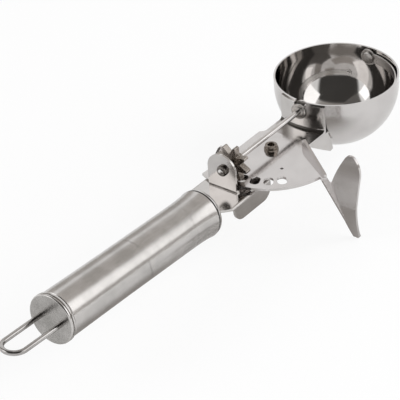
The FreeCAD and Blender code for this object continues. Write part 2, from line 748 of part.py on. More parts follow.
def make_cup():
    """The cup washer that closes the spring below."""
    low = coil_bottom() - CUP_T - FIT
    disc = post(CUP_R, low, low + CUP_T)
    return disc.cut(post(RIVET_R + FIT, low - OVER, low + CUP_T + OVER))


def arc_through(a, tangent, b):
    """The middle point of the arc that leaves a along a tangent and ends at b."""
    chord = b - a
    size = chord.Length
    u = V(chord.x / size, chord.y / size, chord.z / size)
    lean = tangent - u * tangent.dot(u)
    lean.normalize()
    turn = math.acos(max(-1.0, min(1.0, tangent.dot(u))))
    return (a + b) * 0.5 + lean * (size / 2 * math.tan(turn / 2))


def biarc(a, ta, b, tb):
    """Two arcs that join a and b and keep both tangents."""
    v = b - a
    t = ta + tb
    vt = v.dot(t)
    k = 2 * (1 - ta.dot(tb))
    d = (-vt + math.sqrt(vt * vt + k * v.dot(v))) / k
    m = (a + b + (ta - tb) * d) * 0.5
    back = arc_through(b, tb * -1, m)
    return [Part.Arc(a, arc_through(a, ta, m), m).toShape(), Part.Arc(m, back, b).toShape()]


def coil_angles():
    """Angles on the coil where the moving leg leaves it and where the fixed leg does."""
    start = SPRING_LEG_ANGLE + math.degrees(math.acos(COIL_R / SPRING_LEG_R))
    return start, SPRING_FOOT_ANGLE + 360.0 * COIL_TURNS


def coil_point(share):
    """A point and tangent on the coil at a share of its length from the top."""
    start, end = coil_angles()
    turns = (end - start) / 360.0
    a = math.radians(start + (end - start) * share)
    drop = COIL_PITCH * turns
    point = V(PIVOT_X + COIL_R * math.cos(a), PIVOT_Y + COIL_R * math.sin(a), coil_top() - drop * share)
    tangent = V(-math.sin(a) * COIL_R, math.cos(a) * COIL_R, -COIL_PITCH / (2 * math.pi))
    tangent.normalize()
    return point, tangent


def make_spring():
    """The return spring: a coil with one leg up into the lever and one along the front flange."""
    first = coil_point(0)[0]
    foot = polar(SPRING_LEG_R, SPRING_LEG_ANGLE, coil_top())
    top = V(foot.x, foot.y, LEVER_TOP - LEVER_T / 4)
    out = foot - first
    out.normalize()
    bend_in = foot - out * SPRING_BEND_R
    bend_out = foot + V(0, 0, SPRING_BEND_R)
    inside = V(0, 0, 1) - out
    bend_mid = foot + inside * (SPRING_BEND_R * (1 - math.sqrt(0.5)))
    edges = [
        Part.makeLine(top, bend_out),
        Part.Arc(bend_out, bend_mid, bend_in).toShape(),
        Part.makeLine(bend_in, first),
    ]
    steps = COIL_TURNS * 2
    for i in range(steps):
        a, ta = coil_point(i / steps)
        b, tb = coil_point((i + 1) / steps)
        edges += biarc(a, out * -1 if i == 0 else ta, b, tb)
    last, tl = coil_point(1)
    flange_y = -FRONT_HALF + SHANK_T + WIRE_R + RUN
    edges.append(Part.makeLine(last, last + tl * ((flange_y - last.y) / tl.y)))
    start, end = coil_angles()
    turns = (end - start) / 360.0
    samples = [(i / 200.0 * turns, coil_point(i / 200.0)[0]) for i in range(201)]
    least = min(p.distanceToPoint(q) for t, p in samples for u, q in samples if u - t > 0.5)
    print("spring: least gap to itself %.2f mm" % (least - 2 * WIRE_R))
    return pipe(edges, Part.makeCircle(WIRE_R, top, V(0, 0, 1)))


def pipe(edges, circle):
    """A round wire swept along joined edges."""
    shell = Part.BRepOffsetAPI.MakePipeShell(Part.Wire(edges))
    shell.add(Part.Wire(circle))
    shell.build()
    shell.makeSolid()
    return shell.shape()


def tube_profile(offset):
    """The handle tube's outline, lengthwise, drawn in by an offset."""
    return [
        (TUBE_START, TUBE_REAR_R - offset),
        (TUBE_TAPER, TUBE_R - offset),
        (TUBE_FLARE, TUBE_R - offset),
        (TUBE_END - TUBE_SWAGE, TUBE_R + (TUBE_FRONT_R - TUBE_R) * SWAGE_SHARE - offset),
        (TUBE_END, TUBE_FRONT_R - offset),
    ]


def bore_between(s0, s1):
    """The tube's least bore radius over a stretch of its length."""
    bore = tube_profile(TUBE_WALL)
    radii = []
    for (a, ra), (b, rb) in zip(bore, bore[1:]):
        for s in (max(a, s0), min(b, s1)):
            if a <= s <= b:
                radii.append(ra + (rb - ra) * (s - a) / (b - a))
    return min(radii)


def make_tube():
    """The handle's tube, with a slight taper and a flared front."""
    outer = tube_profile(0)
    inner = tube_profile(TUBE_WALL)
    return along_handle(lathe_x(outer + inner[::-1]))


def make_rear_cap():
    """The flat end cap with a groove round it and two holes for the hanging loop."""
    plug_end = CAP_T + CAP_GROOVE + PLUG_LEN
    plug_r = bore_between(TUBE_START, plug_end) - PLUG_SLACK
    k = CAP_ROUND * math.sqrt(0.5)
    points = [
        (0, 0),
        (0, CAP_R - CAP_ROUND),
        (CAP_ROUND - k, CAP_R - CAP_ROUND + k),
        (CAP_ROUND, CAP_R),
        (CAP_T - CAP_EDGE, CAP_R),
        (CAP_T, CAP_R - CAP_EDGE),
        (CAP_T, CAP_GROOVE_R),
        (CAP_T + CAP_GROOVE, CAP_GROOVE_R),
        (CAP_T + CAP_GROOVE, plug_r),
        (plug_end, plug_r),
        (plug_end, 0),
    ]
    cap = lathe_x(points)
    for side in (-1, 1):
        hole = rod_x(LOOP_WIRE_R + FIT, -OVER, plug_end + OVER, side * LOOP_HALF, 0)
        cap = cap.cut(hole)
    return along_handle(cap)


def make_loop():
    """The bent wire loop at the butt."""
    inside = CAP_T + CAP_GROOVE + PLUG_LEN + KEEPER_T + LOOP_INSIDE
    bend_x = -LOOP_REACH + LOOP_HALF + LOOP_WIRE_R
    edges = [
        Part.makeLine(V(inside, -LOOP_HALF, 0), V(bend_x, -LOOP_HALF, 0)),
        Part.Arc(V(bend_x, -LOOP_HALF, 0), V(bend_x - LOOP_HALF, 0, 0), V(bend_x, LOOP_HALF, 0)).toShape(),
        Part.makeLine(V(bend_x, LOOP_HALF, 0), V(inside, LOOP_HALF, 0)),
    ]
    return along_handle(pipe(edges, Part.makeCircle(LOOP_WIRE_R, V(inside, -LOOP_HALF, 0), V(1, 0, 0))))


def make_keeper():
    """The plate inside the handle that the loop's ends are riveted over."""
    x0 = CAP_T + CAP_GROOVE + PLUG_LEN + FIT
    disc = rod_x(KEEPER_R, x0, x0 + KEEPER_T, 0, 0)
    for side in (-1, 1):
        disc = disc.cut(rod_x(LOOP_WIRE_R + FIT, x0 - OVER, x0 + KEEPER_T + OVER, side * LOOP_HALF, 0))
    return along_handle(disc)


def tang_cutter(slack):
    """The shank's thickness and width inside the handle, with slack all round."""
    low = SHANK_BOTTOM - slack
    high = SHANK_TOP + slack
    front = NECK_X + TANG_OVER
    wide = box(TANG_STEP_X - slack, front, -NECK_HALF - slack, NECK_HALF + slack, low, high)
    slim = box(TANG_END_X - slack, front, -TANG_HALF - slack, TANG_HALF + slack, low, high)
    return wide.fuse(slim)


def make_front_cap():
    """The domed cap that closes the tube's front round the shank."""
    end = TUBE_END + FIT
    plug_r = bore_between(end - FRONT_PLUG_LEN, end) - PLUG_SLACK
    points = [
        (end - FRONT_PLUG_LEN, 0),
        (end - FRONT_PLUG_LEN, plug_r),
        (end, plug_r),
    ]
    points += [(end + x, TUBE_FRONT_R - drop) for x, drop in FRONT_CAP_DOME]
    points += [(end + FRONT_CAP_T, FRONT_CAP_FACE_R), (end + FRONT_CAP_T, 0)]
    cap = along_handle(lathe_x(points))
    return cap.cut(tang_cutter(FIT))


def tang_pin_ends():
    """Heights of the cross pin's ends, level with the middle of the tang."""
    centre = (SHANK_TOP + SHANK_BOTTOM) / 2
    return centre - TANG_PIN_LEN / 2, centre + TANG_PIN_LEN / 2


def make_core():
    """The plug inside the tube that grips the tang."""
    end = TUBE_END - FRONT_PLUG_LEN - GAP
    core_r = bore_between(CORE_START, end) - FIT
    core = rod_x(core_r, CORE_START, end, 0, 0)
    core = along_handle(core).cut(tang_cutter(FIT))
    low, high = tang_pin_ends()
    return core.cut(post(TANG_PIN_R + FIT, low - OVER, high + OVER, V(TANG_PIN_X, 0, 0)))


def make_tang_pin():
    """The cross pin through the core and the tang."""
    low, high = tang_pin_ends()
    return post(TANG_PIN_R, low, high, V(TANG_PIN_X, 0, 0))


PARTS = {
    "bowl": make_bowl,
    "shaft_bush": make_bush,
    "far_pivot_rivet": make_far_rivet,
    "far_pivot_washer": make_far_washer,
    "scraper_band": make_band,
    "scraper_shaft": make_shaft,
    "shaft_push_nut": make_push_nut,
    "pinion": make_pinion,
    "pinion_collar": make_collar,
    "pinion_spacer": make_spacer,
    "bearing_bracket": make_bracket,
    "shank": make_shank,
    "thumb_lever": make_lever,
    "lever_rivet": make_rivet,
    "lever_washer": make_washer,
    "return_spring": make_spring,
    "spring_cup_washer": make_cup,
    "handle_tube": make_tube,
    "front_cap": make_front_cap,
    "rear_cap": make_rear_cap,
    "hanging_loop": make_loop,
    "loop_keeper": make_keeper,
    "handle_core": make_core,
    "tang_pin": make_tang_pin,
}

if __name__ == "__main__":
    os.makedirs("parts", exist_ok=True)
    for name, make in PARTS.items():
        shape = make()
        good = shape.isValid() and len(shape.Solids) == 1
        print("%-18s solids %d valid %s volume %.1f" % (name, len(shape.Solids), good, shape.Volume))
        shape.exportStep("parts/" + name + ".step")
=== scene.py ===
import logging
import math
from abc import ABC, abstractmethod
from contextlib import contextmanager
from dataclasses import dataclass
from enum import Enum
from typing import Callable, Iterator, Sequence

import bpy
from mathutils import Euler, Matrix, Vector


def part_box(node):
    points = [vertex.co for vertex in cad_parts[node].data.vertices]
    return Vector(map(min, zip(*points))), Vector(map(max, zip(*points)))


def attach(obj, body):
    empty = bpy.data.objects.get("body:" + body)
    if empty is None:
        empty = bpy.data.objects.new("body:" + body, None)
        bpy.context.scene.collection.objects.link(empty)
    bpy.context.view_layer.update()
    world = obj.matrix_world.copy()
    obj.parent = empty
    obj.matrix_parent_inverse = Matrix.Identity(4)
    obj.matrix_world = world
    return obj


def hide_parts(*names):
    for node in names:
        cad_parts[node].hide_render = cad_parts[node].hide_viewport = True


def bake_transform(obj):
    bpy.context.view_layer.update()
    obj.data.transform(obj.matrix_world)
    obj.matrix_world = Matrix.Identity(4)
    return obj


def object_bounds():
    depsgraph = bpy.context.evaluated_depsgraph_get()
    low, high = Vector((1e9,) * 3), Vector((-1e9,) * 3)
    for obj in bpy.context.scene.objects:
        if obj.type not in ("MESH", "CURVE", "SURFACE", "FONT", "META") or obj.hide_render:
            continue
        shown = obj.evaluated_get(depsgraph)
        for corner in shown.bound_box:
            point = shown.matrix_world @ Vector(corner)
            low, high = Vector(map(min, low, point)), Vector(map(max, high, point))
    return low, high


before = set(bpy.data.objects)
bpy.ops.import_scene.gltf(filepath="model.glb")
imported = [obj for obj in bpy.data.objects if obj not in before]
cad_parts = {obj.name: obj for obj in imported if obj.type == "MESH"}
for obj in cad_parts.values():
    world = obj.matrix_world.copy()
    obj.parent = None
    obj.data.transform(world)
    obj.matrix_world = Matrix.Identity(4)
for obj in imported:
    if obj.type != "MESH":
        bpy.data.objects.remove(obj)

log = logging.getLogger("scoop")

MM = 0.001
PLAY = 0.03 * MM
SNUG = 1e-7
CAD_LOW, CAD_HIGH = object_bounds()
MIDDLE = Vector((-0.06, 0.0, -0.01))
SHAFT_Z = -4.4 * MM

WHITE = (1.0, 1.0, 1.0, 1.0)
EVEN = (1.0, 1.0, 1.0)
CLOUDS_PER_M = 90.0
STAIN_FROM, STAIN_TO = 0.35, 0.65
MARKS_IN_STAIN = 0.35
MARKS_SPAN = (0.3, 0.7)
PATCHES_IN_ROUGHNESS = 0.8
LEAST_ROUGHNESS = 0.02
RELIEF = 0.05 * MM

Socket = bpy.types.NodeSocket
Piece = bpy.types.Object
Pair = tuple[float, float]
Triple = tuple[float, float, float]
Value = float | Sequence[float] | Socket


class Body(Enum):
    """The rigid bodies that pieces ride on."""

    FRAME = "frame"
    LEVER = "lever"
    SCRAPER = "scraper"


class Lay(Enum):
    """Which way the polishing marks of a steel surface run, as a stretch of the fine pattern."""

    ALONG_SHAFT = (0.03, 1.0, 1.0)
    ROUND_SHAFT = (1.0, 0.05, 0.05)
    LEVEL_RINGS = (0.05, 0.05, 1.0)
    CLOUDY = (0.4, 0.4, 0.4)


class Turn(Enum):
    """The axis that a turned piece is spun about."""

    SHAFT = "x"
    UPRIGHT = "z"


@dataclass(frozen=True)
class Wiring:
    """The node tree of a material or a world, and the steps that fill it.

    Attributes:
        tree: the node tree.
    """

    tree: bpy.types.NodeTree

    @classmethod
    def blank(cls, owner: bpy.types.ID) -> "Wiring":
        """Empties the node tree of a material or a world.

        Args:
            owner: the material or the world.

        Returns:
            Its wiring, with no nodes in it.
        """
        owner.use_nodes = True
        owner.node_tree.nodes.clear()
        return cls(owner.node_tree)

    def feed(self, node: bpy.types.Node, inputs: dict[str | int, Value]) -> None:
        """Sets or links inputs of a node.

        Args:
            node: the node.
            inputs: a value to set or a socket to link, by the input's name or number.
        """
        for name, value in inputs.items():
            if isinstance(value, Socket):
                self.tree.links.new(value, node.inputs[name])
            else:
                node.inputs[name].default_value = value

    def add(self, kind: str, inputs: dict[str | int, Value] | None = None,
            **settings: object) -> bpy.types.Node:
        """Adds a node.

        Args:
            kind: type of the node, without ShaderNode in front.
            inputs: a value to set or a socket to link, by the input's name or number.
            settings: properties of the node itself.

        Returns:
            The node.
        """
        node = self.tree.nodes.new("ShaderNode" + kind)
        for name, value in settings.items():
            setattr(node, name, value)
        self.feed(node, inputs or {})
        return node

    def reckon(self, operation: str, *inputs: Value) -> Socket:
        """Adds a Math node with this operation and these inputs, and hands back its result."""
        return self.add("Math", dict(enumerate(inputs)), operation=operation).outputs[0]

    def remap(self, value: Value, before: Pair, after: Pair, **settings: object) -> Socket:
        """Maps one span of a value to another and holds it at both ends.

        Args:
            value: the value.
            before: its span.
            after: the new span.
            settings: properties of the node itself.

        Returns:
            The new value.
        """
        node = self.add("MapRange", {"Value": value, "From Min": before[0], "From Max": before[1],
                                     "To Min": after[0], "To Max": after[1]}, **settings)
        return node.outputs["Result"]

    def ramp(self, value: Value, *stops: tuple[float, Triple]) -> Socket:
        """Turns a value into a colour between two.

        Args:
            value: the value.
            stops: the two places with their colours, the lower one first.

        Returns:
            The colour.
        """
        node = self.add("ValToRGB", {"Fac": value})
        for element, (place, colour) in zip(node.color_ramp.elements, stops):
            element.position = place
            element.color = (*colour, 1.0)
        return node.outputs["Color"]

    def pattern(self, per_m: float, stretch: Sequence[float] = EVEN, detail: float = 3.0) -> Socket:
        """Adds a noise on object coordinates.

        Args:
            per_m: pattern repeats per metre.
            stretch: relative scale along X, Y and Z.
            detail: octaves of the noise.

        Returns:
            The noise's value.
        """
        place = self.add("TexCoord").outputs["Object"]
        scale = tuple(per_m * share for share in stretch)
        spread = self.add("Mapping", {"Vector": place, "Scale": scale}).outputs["Vector"]
        return self.add("TexNoise", {"Vector": spread, "Scale": 1.0, "Detail": detail}).outputs["Fac"]

    def by_ray(self, seen: float, mirrored: float) -> Socket:
        """Adds a value that goes by the kind of ray, and is 0 for the kinds not named here.

        Args:
            seen: value for what the camera sees.
            mirrored: value for what shows in or through a surface.

        Returns:
            The value.
        """
        path = self.add("LightPath").outputs
        total: Value = 0.0
        for ray, value in (("Is Camera Ray", seen), ("Is Glossy Ray", mirrored),
                           ("Is Transmission Ray", mirrored)):
            total = self.reckon("MULTIPLY_ADD", path[ray], value, total)
        return total

    def end_in(self, output: str, share: Value, first: Socket, second: Socket) -> None:
        """Ends the tree in a mix of two shaders, by the share of the second."""
        mix = self.add("MixShader", {"Fac": share, 1: first, 2: second})
        self.add(output, {"Surface": mix.outputs["Shader"]})


@dataclass(frozen=True)
class Scuff:
    """A broken, wavy ring round a piece, as left by a clamp or by rubbing.

    Attributes:
        place: middle of the ring along X.
        sway: how far the ring strays along X.
        half_width: half the width of its line.
        strength: greatest share of its colour.
        colour: its colour, linear RGB.
    """

    place: float
    sway: float = 6.0 * MM
    half_width: float = 0.5 * MM
    strength: float = 0.3
    colour: Triple = (0.2, 0.19, 0.18)

    def over(self, wiring: Wiring, colour: Socket) -> Socket:
        """Darkens a surface along the ring.

        Args:
            wiring: wiring of the material.
            colour: colour so far.

        Returns:
            The colour with the ring in it.
        """
        spot = wiring.add("SeparateXYZ", {"Vector": wiring.add("TexCoord").outputs["Object"]})
        strayed = wiring.reckon("MULTIPLY_ADD", wiring.pattern(120.0, detail=2.0), self.sway,
                                spot.outputs["X"])
        ring = wiring.reckon("COMPARE", strayed, self.place + 0.5 * self.sway, self.half_width)
        breaks = wiring.pattern(260.0, (0.4, 1.0, 1.0))
        broken = wiring.remap(breaks, (0.45, 0.6), (0.0, self.strength))
        share = wiring.reckon("MULTIPLY", ring, broken)
        mix = wiring.add("Mix", {"Factor": share, "A": colour, "B": (*self.colour, 1.0)},
                         data_type="RGBA")
        return mix.outputs["Result"]


@dataclass(frozen=True)
class Finish(ABC):
    """A surface finish, which becomes a material once and is shared after that.

    Attributes:
        label: material name.
        slot: slot of the record that pieces in this finish belong to; not used.
        colour: base colour, linear RGB.
    """

    label: str
    slot: str
    colour: Triple

    def material(self) -> bpy.types.Material:
        """Builds the finish, or finds it if it is built.

        Returns:
            The material.
        """
        known = bpy.data.materials.get(self.label)
        if known is not None:
            return known
        made = bpy.data.materials.new(self.label)
        made.use_nodes = True
        wiring = Wiring(made.node_tree)
        wiring.feed(made.node_tree.nodes["Principled BSDF"], self.surface(wiring))
        return made

    @abstractmethod
    def surface(self, wiring: Wiring) -> dict[str, Value]:
        """Adds the finish's patterns, and gives what goes into the surface shader's inputs."""


@dataclass(frozen=True)
class Steel(Finish):
    """A steel surface with polishing marks, slight stains and rubbed patches.

    Attributes:
        stain: second colour that clouds in softly.
        roughness: middle roughness.
        spread: how far the roughness strays along the marks.
        lay: direction of the marks.
        marks_per_m: fineness of the marks.
        depth: strength of the marks as relief.
        scuffs: rubbed rings round a piece.
    """

    stain: Triple
    roughness: float
    spread: float
    lay: Lay
    marks_per_m: float = 3200.0
    depth: float = 0.03
    scuffs: tuple[Scuff, ...] = ()

    def surface(self, wiring: Wiring) -> dict[str, Value]:
        """Adds the marks, the clouds and what they do to colour, roughness and relief.

        Args:
            wiring: wiring of the material.

        Returns:
            What goes into each input of the surface shader.
        """
        marks = wiring.pattern(self.marks_per_m, self.lay.value, 5.0)
        clouds = wiring.pattern(CLOUDS_PER_M)
        level = wiring.reckon("SUBTRACT", clouds, 0.5 * MARKS_IN_STAIN)
        stained = wiring.reckon("MULTIPLY_ADD", marks, MARKS_IN_STAIN, level)
        colour = wiring.ramp(stained, (STAIN_FROM, self.stain), (STAIN_TO, self.colour))
        for scuff in self.scuffs:
            colour = scuff.over(wiring, colour)
        least = max(LEAST_ROUGHNESS, self.roughness - self.spread)
        fine = wiring.remap(marks, MARKS_SPAN, (least, self.roughness + self.spread))
        rough = wiring.reckon("MULTIPLY_ADD", clouds, self.spread * PATCHES_IN_ROUGHNESS, fine)
        bump = wiring.add("Bump", {"Strength": self.depth, "Distance": RELIEF, "Height": marks})
        return {"Metallic": 1.0, "Base Color": colour, "Roughness": rough,
                "Normal": bump.outputs["Normal"]}


@dataclass(frozen=True)
class Plastic(Finish):
    """A moulded plastic that is hidden inside the handle.

    Attributes:
        roughness: surface roughness.
        mottle_per_m: fineness of the moulded mottle.
        mottle: brightness of its darker spots.
    """

    roughness: float
    mottle_per_m: float = 900.0
    mottle: float = 0.92

    def surface(self, wiring: Wiring) -> dict[str, Value]:
        """Adds the faint mottle.

        Args:
            wiring: wiring of the material.

        Returns:
            What goes into each input of the surface shader.
        """
        dark = tuple(self.mottle * part for part in self.colour)
        noise = wiring.pattern(self.mottle_per_m, detail=2.0)
        return {"Base Color": wiring.ramp(noise, (0.0, dark), (1.0, self.colour)),
                "Roughness": self.roughness}


SATIN_BOWL = Steel(
    "satin_bowl_outside", "bowl_satin", (0.63, 0.61, 0.6), (0.58, 0.56, 0.55),
    0.16, 0.03, Lay.LEVEL_RINGS)
MIRROR_BOWL = Steel(
    "mirror_bowl_inside", "bowl_satin", (0.62, 0.6, 0.585), (0.56, 0.54, 0.525),
    0.06, 0.02, Lay.LEVEL_RINGS)
FAR_RIVET = Steel(
    "worn_far_rivet", "bright_steel", (0.72, 0.7, 0.68), (0.58, 0.56, 0.54),
    0.32, 0.05, Lay.CLOUDY, marks_per_m=1500.0, depth=0.05)
SHEET = Steel(
    "polished_sheet", "sheet_steel", (0.61, 0.59, 0.575), (0.55, 0.53, 0.515),
    0.14, 0.03, Lay.ALONG_SHAFT)
# Painted shade: a near-black steel in the crease between the bracket's deck and the bowl's collar,
# standing in for the shadow in the gap there.
CREASE_SHADE = Steel(
    "painted_shade_in_crease", "sheet_steel", (0.12, 0.11, 0.1), (0.06, 0.055, 0.05),
    0.35, 0.08, Lay.CLOUDY, depth=0.06)
LEVER_SHEET = Steel(
    "lever_sheet", "sheet_steel", (0.62, 0.595, 0.585), (0.57, 0.545, 0.535),
    0.14, 0.03, Lay.ALONG_SHAFT)
BRIGHT = Steel(
    "bright_turned_steel", "bright_steel", (0.58, 0.56, 0.54), (0.46, 0.44, 0.42),
    0.12, 0.03, Lay.ROUND_SHAFT)
DULL_RIVET = Steel(
    "dull_riveted_head", "bright_steel", (0.3, 0.265, 0.235), (0.17, 0.145, 0.12),
    0.2, 0.06, Lay.CLOUDY, marks_per_m=1500.0, depth=0.06)
DARK_NUT = Steel(
    "dark_domed_nut", "bright_steel", (0.2, 0.185, 0.17), (0.09, 0.08, 0.07),
    0.16, 0.05, Lay.CLOUDY, marks_per_m=1500.0, depth=0.06)
BRIGHT_WIRE = Steel(
    "bright_drawn_wire", "bright_steel", (0.72, 0.7, 0.69), (0.62, 0.6, 0.59),
    0.12, 0.03, Lay.ALONG_SHAFT, depth=0.02)
LOOP_WIRE = Steel(
    "bent_loop_wire", "bright_steel", (0.5, 0.485, 0.475), (0.38, 0.365, 0.355),
    0.13, 0.04, Lay.CLOUDY)
WORN_STRIP = Steel(
    "worn_scraper_strip", "bright_steel", (0.72, 0.7, 0.68), (0.6, 0.58, 0.56),
    0.3, 0.05, Lay.CLOUDY, marks_per_m=1800.0)
HANDLE = Steel(
    "satin_handle_tube", "handle_brushed", (0.58, 0.56, 0.545), (0.47, 0.455, 0.44),
    0.2, 0.04, Lay.ALONG_SHAFT, depth=0.02, scuffs=(Scuff(-0.1475), Scuff(-0.1165)))
BUSH = Steel(
    "worn_flanged_bush", "bright_steel", (0.46, 0.44, 0.42), (0.3, 0.285, 0.27),
    0.14, 0.04, Lay.ROUND_SHAFT)
CAP = Steel(
    "turned_end_cap", "cap_brushed", (0.44, 0.425, 0.41), (0.33, 0.32, 0.305),
    0.24, 0.05, Lay.CLOUDY, marks_per_m=1800.0, depth=0.05)
CAP_RIM = Steel(
    "polished_cap_rim", "cap_brushed", (0.62, 0.6, 0.585), (0.5, 0.485, 0.47),
    0.12, 0.03, Lay.ROUND_SHAFT)
PINION = Steel(
    "stamped_pinion", "pinion_steel", (0.42, 0.385, 0.355), (0.24, 0.215, 0.19),
    0.22, 0.07, Lay.CLOUDY, marks_per_m=2400.0, depth=0.1)
SPRING = Steel(
    "spring_wire_steel", "spring_wire", (0.42, 0.41, 0.4), (0.3, 0.29, 0.28),
    0.28, 0.07, Lay.CLOUDY, depth=0.08)
CORE = Plastic("moulded_core", "core_plastic", (0.72, 0.72, 0.7), 0.5)


# A second finish, and the test of a face that takes it.
Patch = tuple[Finish, Callable[[bpy.types.MeshPolygon], bool]]


def deselect() -> None:
    """Leaves edit mode and deselects everything."""
    if bpy.context.object is not None and bpy.context.object.mode != "OBJECT":
        bpy.ops.object.mode_set(mode="OBJECT")
    bpy.ops.object.select_all(action="DESELECT")


def pick(piece: Piece) -> None:
    """Makes one piece the selected and active one.

    Args:
        piece: the piece.
    """
    deselect()
    piece.select_set(True)
    bpy.context.view_layer.objects.active = piece


@contextmanager
def editing(everything: bool = True) -> Iterator[None]:
    """Opens the active piece in edit mode for the steps inside.

    Args:
        everything: whether all of it is selected first.

    Yields:
        Nothing.
    """
    bpy.ops.object.mode_set(mode="EDIT")
    if everything:
        bpy.ops.mesh.select_all(action="SELECT")
    yield
    bpy.ops.object.mode_set(mode="OBJECT")


def named(name: str) -> Piece:
    """Names the piece that was just added and moves its place into its mesh.

    Args:
        name: its name.

    Returns:
        The piece.
    """
    piece = bpy.context.object
    piece.name = name
    settle(piece)
    return piece


def apply_modifiers(piece: Piece) -> None:
    """Applies all modifiers of a piece in order.

    Args:
        piece: the piece.
    """
    pick(piece)
    for modifier in list(piece.modifiers):
        bpy.ops.object.modifier_apply(modifier=modifier.name)


def settle(piece: Piece) -> None:
    """Moves a piece's place into its mesh."""
    pick(piece)
    bpy.ops.object.transform_apply(location=True, rotation=True, scale=True)


def tidy_mesh(piece: Piece, flat_deg: float = 0.0, face_out: bool = True) -> None:
    """Merges doubles, dissolves flat seams and points the faces outwards.

    Args:
        piece: the piece.
        flat_deg: faces within this angle are merged into one; 0 leaves them.
        face_out: whether to recalculate the normals.
    """
    pick(piece)
    with editing():
        bpy.ops.mesh.remove_doubles(threshold=2e-6)
        if flat_deg:
            bpy.ops.mesh.dissolve_limited(angle_limit=math.radians(flat_deg))
        if face_out:
            bpy.ops.mesh.select_all(action="SELECT")
            bpy.ops.mesh.normals_make_consistent(inside=False)


def smooth(piece: Piece, degrees: float) -> None:
    """Shades a piece smooth except across sharp edges, with the flats kept flat.

    Args:
        piece: the piece.
        degrees: edges sharper than this stay sharp.
    """
    pick(piece)
    bpy.ops.object.shade_smooth_by_angle(angle=math.radians(degrees))
    flats = piece.modifiers.new("flats", "WEIGHTED_NORMAL")
    flats.keep_sharp = True
    flats.weight = 100
    apply_modifiers(piece)


def round_edges(piece: Piece, width: float, segments: int, degrees: float) -> None:
    """Rounds the sharp edges of a piece.

    Args:
        piece: the piece.
        width: width of the rounding.
        segments: facets across the rounding.
        degrees: edges sharper than this are rounded.
    """
    bevel = piece.modifiers.new("rounding", "BEVEL")
    bevel.width = width
    bevel.segments = segments
    bevel.limit_method = "ANGLE"
    bevel.angle_limit = math.radians(degrees)
    bevel.use_clamp_overlap = True
    apply_modifiers(piece)


def cut(piece: Piece, tool: Piece) -> None:
    """Cuts a tool's shape out of a piece and throws the tool away.

    Args:
        piece: the piece.
        tool: the shape to cut out.
    """
    cutter = piece.modifiers.new("cut", "BOOLEAN")
    cutter.operation = "DIFFERENCE"
    cutter.solver = "EXACT"
    cutter.object = tool
    apply_modifiers(piece)
    bpy.data.objects.remove(tool)


def rod(name: str, radius: float, start: Vector, end: Vector, sides: int = 64) -> Piece:
    """Makes a plain round bar, used as a drill.

    Args:
        name: object name.
        radius: bar radius.
        start: centre of one end.
        end: centre of the other end.
        sides: facets round it.

    Returns:
        The bar.
    """
    deselect()
    way = end - start
    bpy.ops.mesh.primitive_cylinder_add(
        vertices=sides, radius=radius, depth=way.length, location=(start + end) / 2,
        rotation=way.to_track_quat("Z", "Y").to_euler())
    return named(name)


def turned(name: str, stations: Sequence[Pair], axis: Turn, centre: Vector, sides: int) -> Piece:
    """Turns a closed profile about an axis, by extruding and sizing a ring between stations.

    Args:
        name: object name.
        stations: distance along the axis and radius of each ring. A radius of 0 closes a pole.
        axis: the axis it is turned about.
        centre: the point that the distances count from.
        sides: facets round it.

    Returns:
        The turned piece.
    """
    on_shaft = axis is Turn.SHAFT
    along = Vector((1, 0, 0)) if on_shaft else Vector((0, 0, 1))
    tilt = (0.0, math.pi / 2, 0.0) if on_shaft else (0.0, 0.0, 0.0)
    before, radius = stations[0]
    radius = max(radius, SNUG)
    deselect()
    bpy.ops.mesh.primitive_circle_add(vertices=sides, radius=radius,
                                      location=centre + along * before, rotation=tilt)
    piece = named(name)
    with editing():
        for place, size in (*stations[1:], stations[0]):
            size = max(size, SNUG)
            grow = size / radius
            scale = (1.0, grow, grow) if on_shaft else (grow, grow, 1.0)
            step = {"value": along * (place - before)}
            bpy.ops.mesh.extrude_edges_move(TRANSFORM_OT_translate=step)
            bpy.ops.transform.resize(value=scale, center_override=centre + along * place)
            before, radius = place, size
    tidy_mesh(piece)
    return piece


def copy_of(node: str, name: str, flat_deg: float = 0.5) -> Piece:
    """Makes a merged copy of a node's solid, ready for rounding.

    Args:
        node: the CAD node.
        name: name of the copy.
        flat_deg: angle for dissolving flat seams.

    Returns:
        The copy, unparented at the origin.
    """
    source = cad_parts[node]
    copy = bpy.data.objects.new(name, source.data.copy())
    bpy.context.scene.collection.objects.link(copy)
    tidy_mesh(copy, flat_deg, face_out=False)
    return copy


def dress(piece: Piece, finish: Finish) -> None:
    """Gives a whole piece one finish.

    Args:
        piece: the piece.
        finish: the finish.
    """
    piece.data.materials.clear()
    piece.data.materials.append(finish.material())
    for face in piece.data.polygons:
        face.material_index = 0


def dress_nodes(finish: Finish, *nodes: str) -> None:
    """Gives one finish to CAD nodes that are shown as they are."""
    for node in nodes:
        dress(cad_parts[node], finish)


def complete(piece: Piece, node: str, body: Body, finish: Finish,
             smooth_deg: float, patch: Patch | None = None) -> None:
    """Smooths and dresses a piece, puts it on its body and reports it.

    Args:
        piece: the piece.
        node: CAD node that it is shown in place of.
        body: the body that it rides on.
        finish: its finish.
        smooth_deg: edges sharper than this stay sharp.
        patch: a second finish on some of its faces.
    """
    smooth(piece, smooth_deg)
    dress(piece, finish)
    if patch is not None:
        second, covers = patch
        piece.data.materials.append(second.material())
        for face in piece.data.polygons:
            face.material_index = int(covers(face))
    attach(piece, body.value)
    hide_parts(node)
    log.info("%s: %d faces, rides on %s", piece.name, len(piece.data.polygons), body.value)


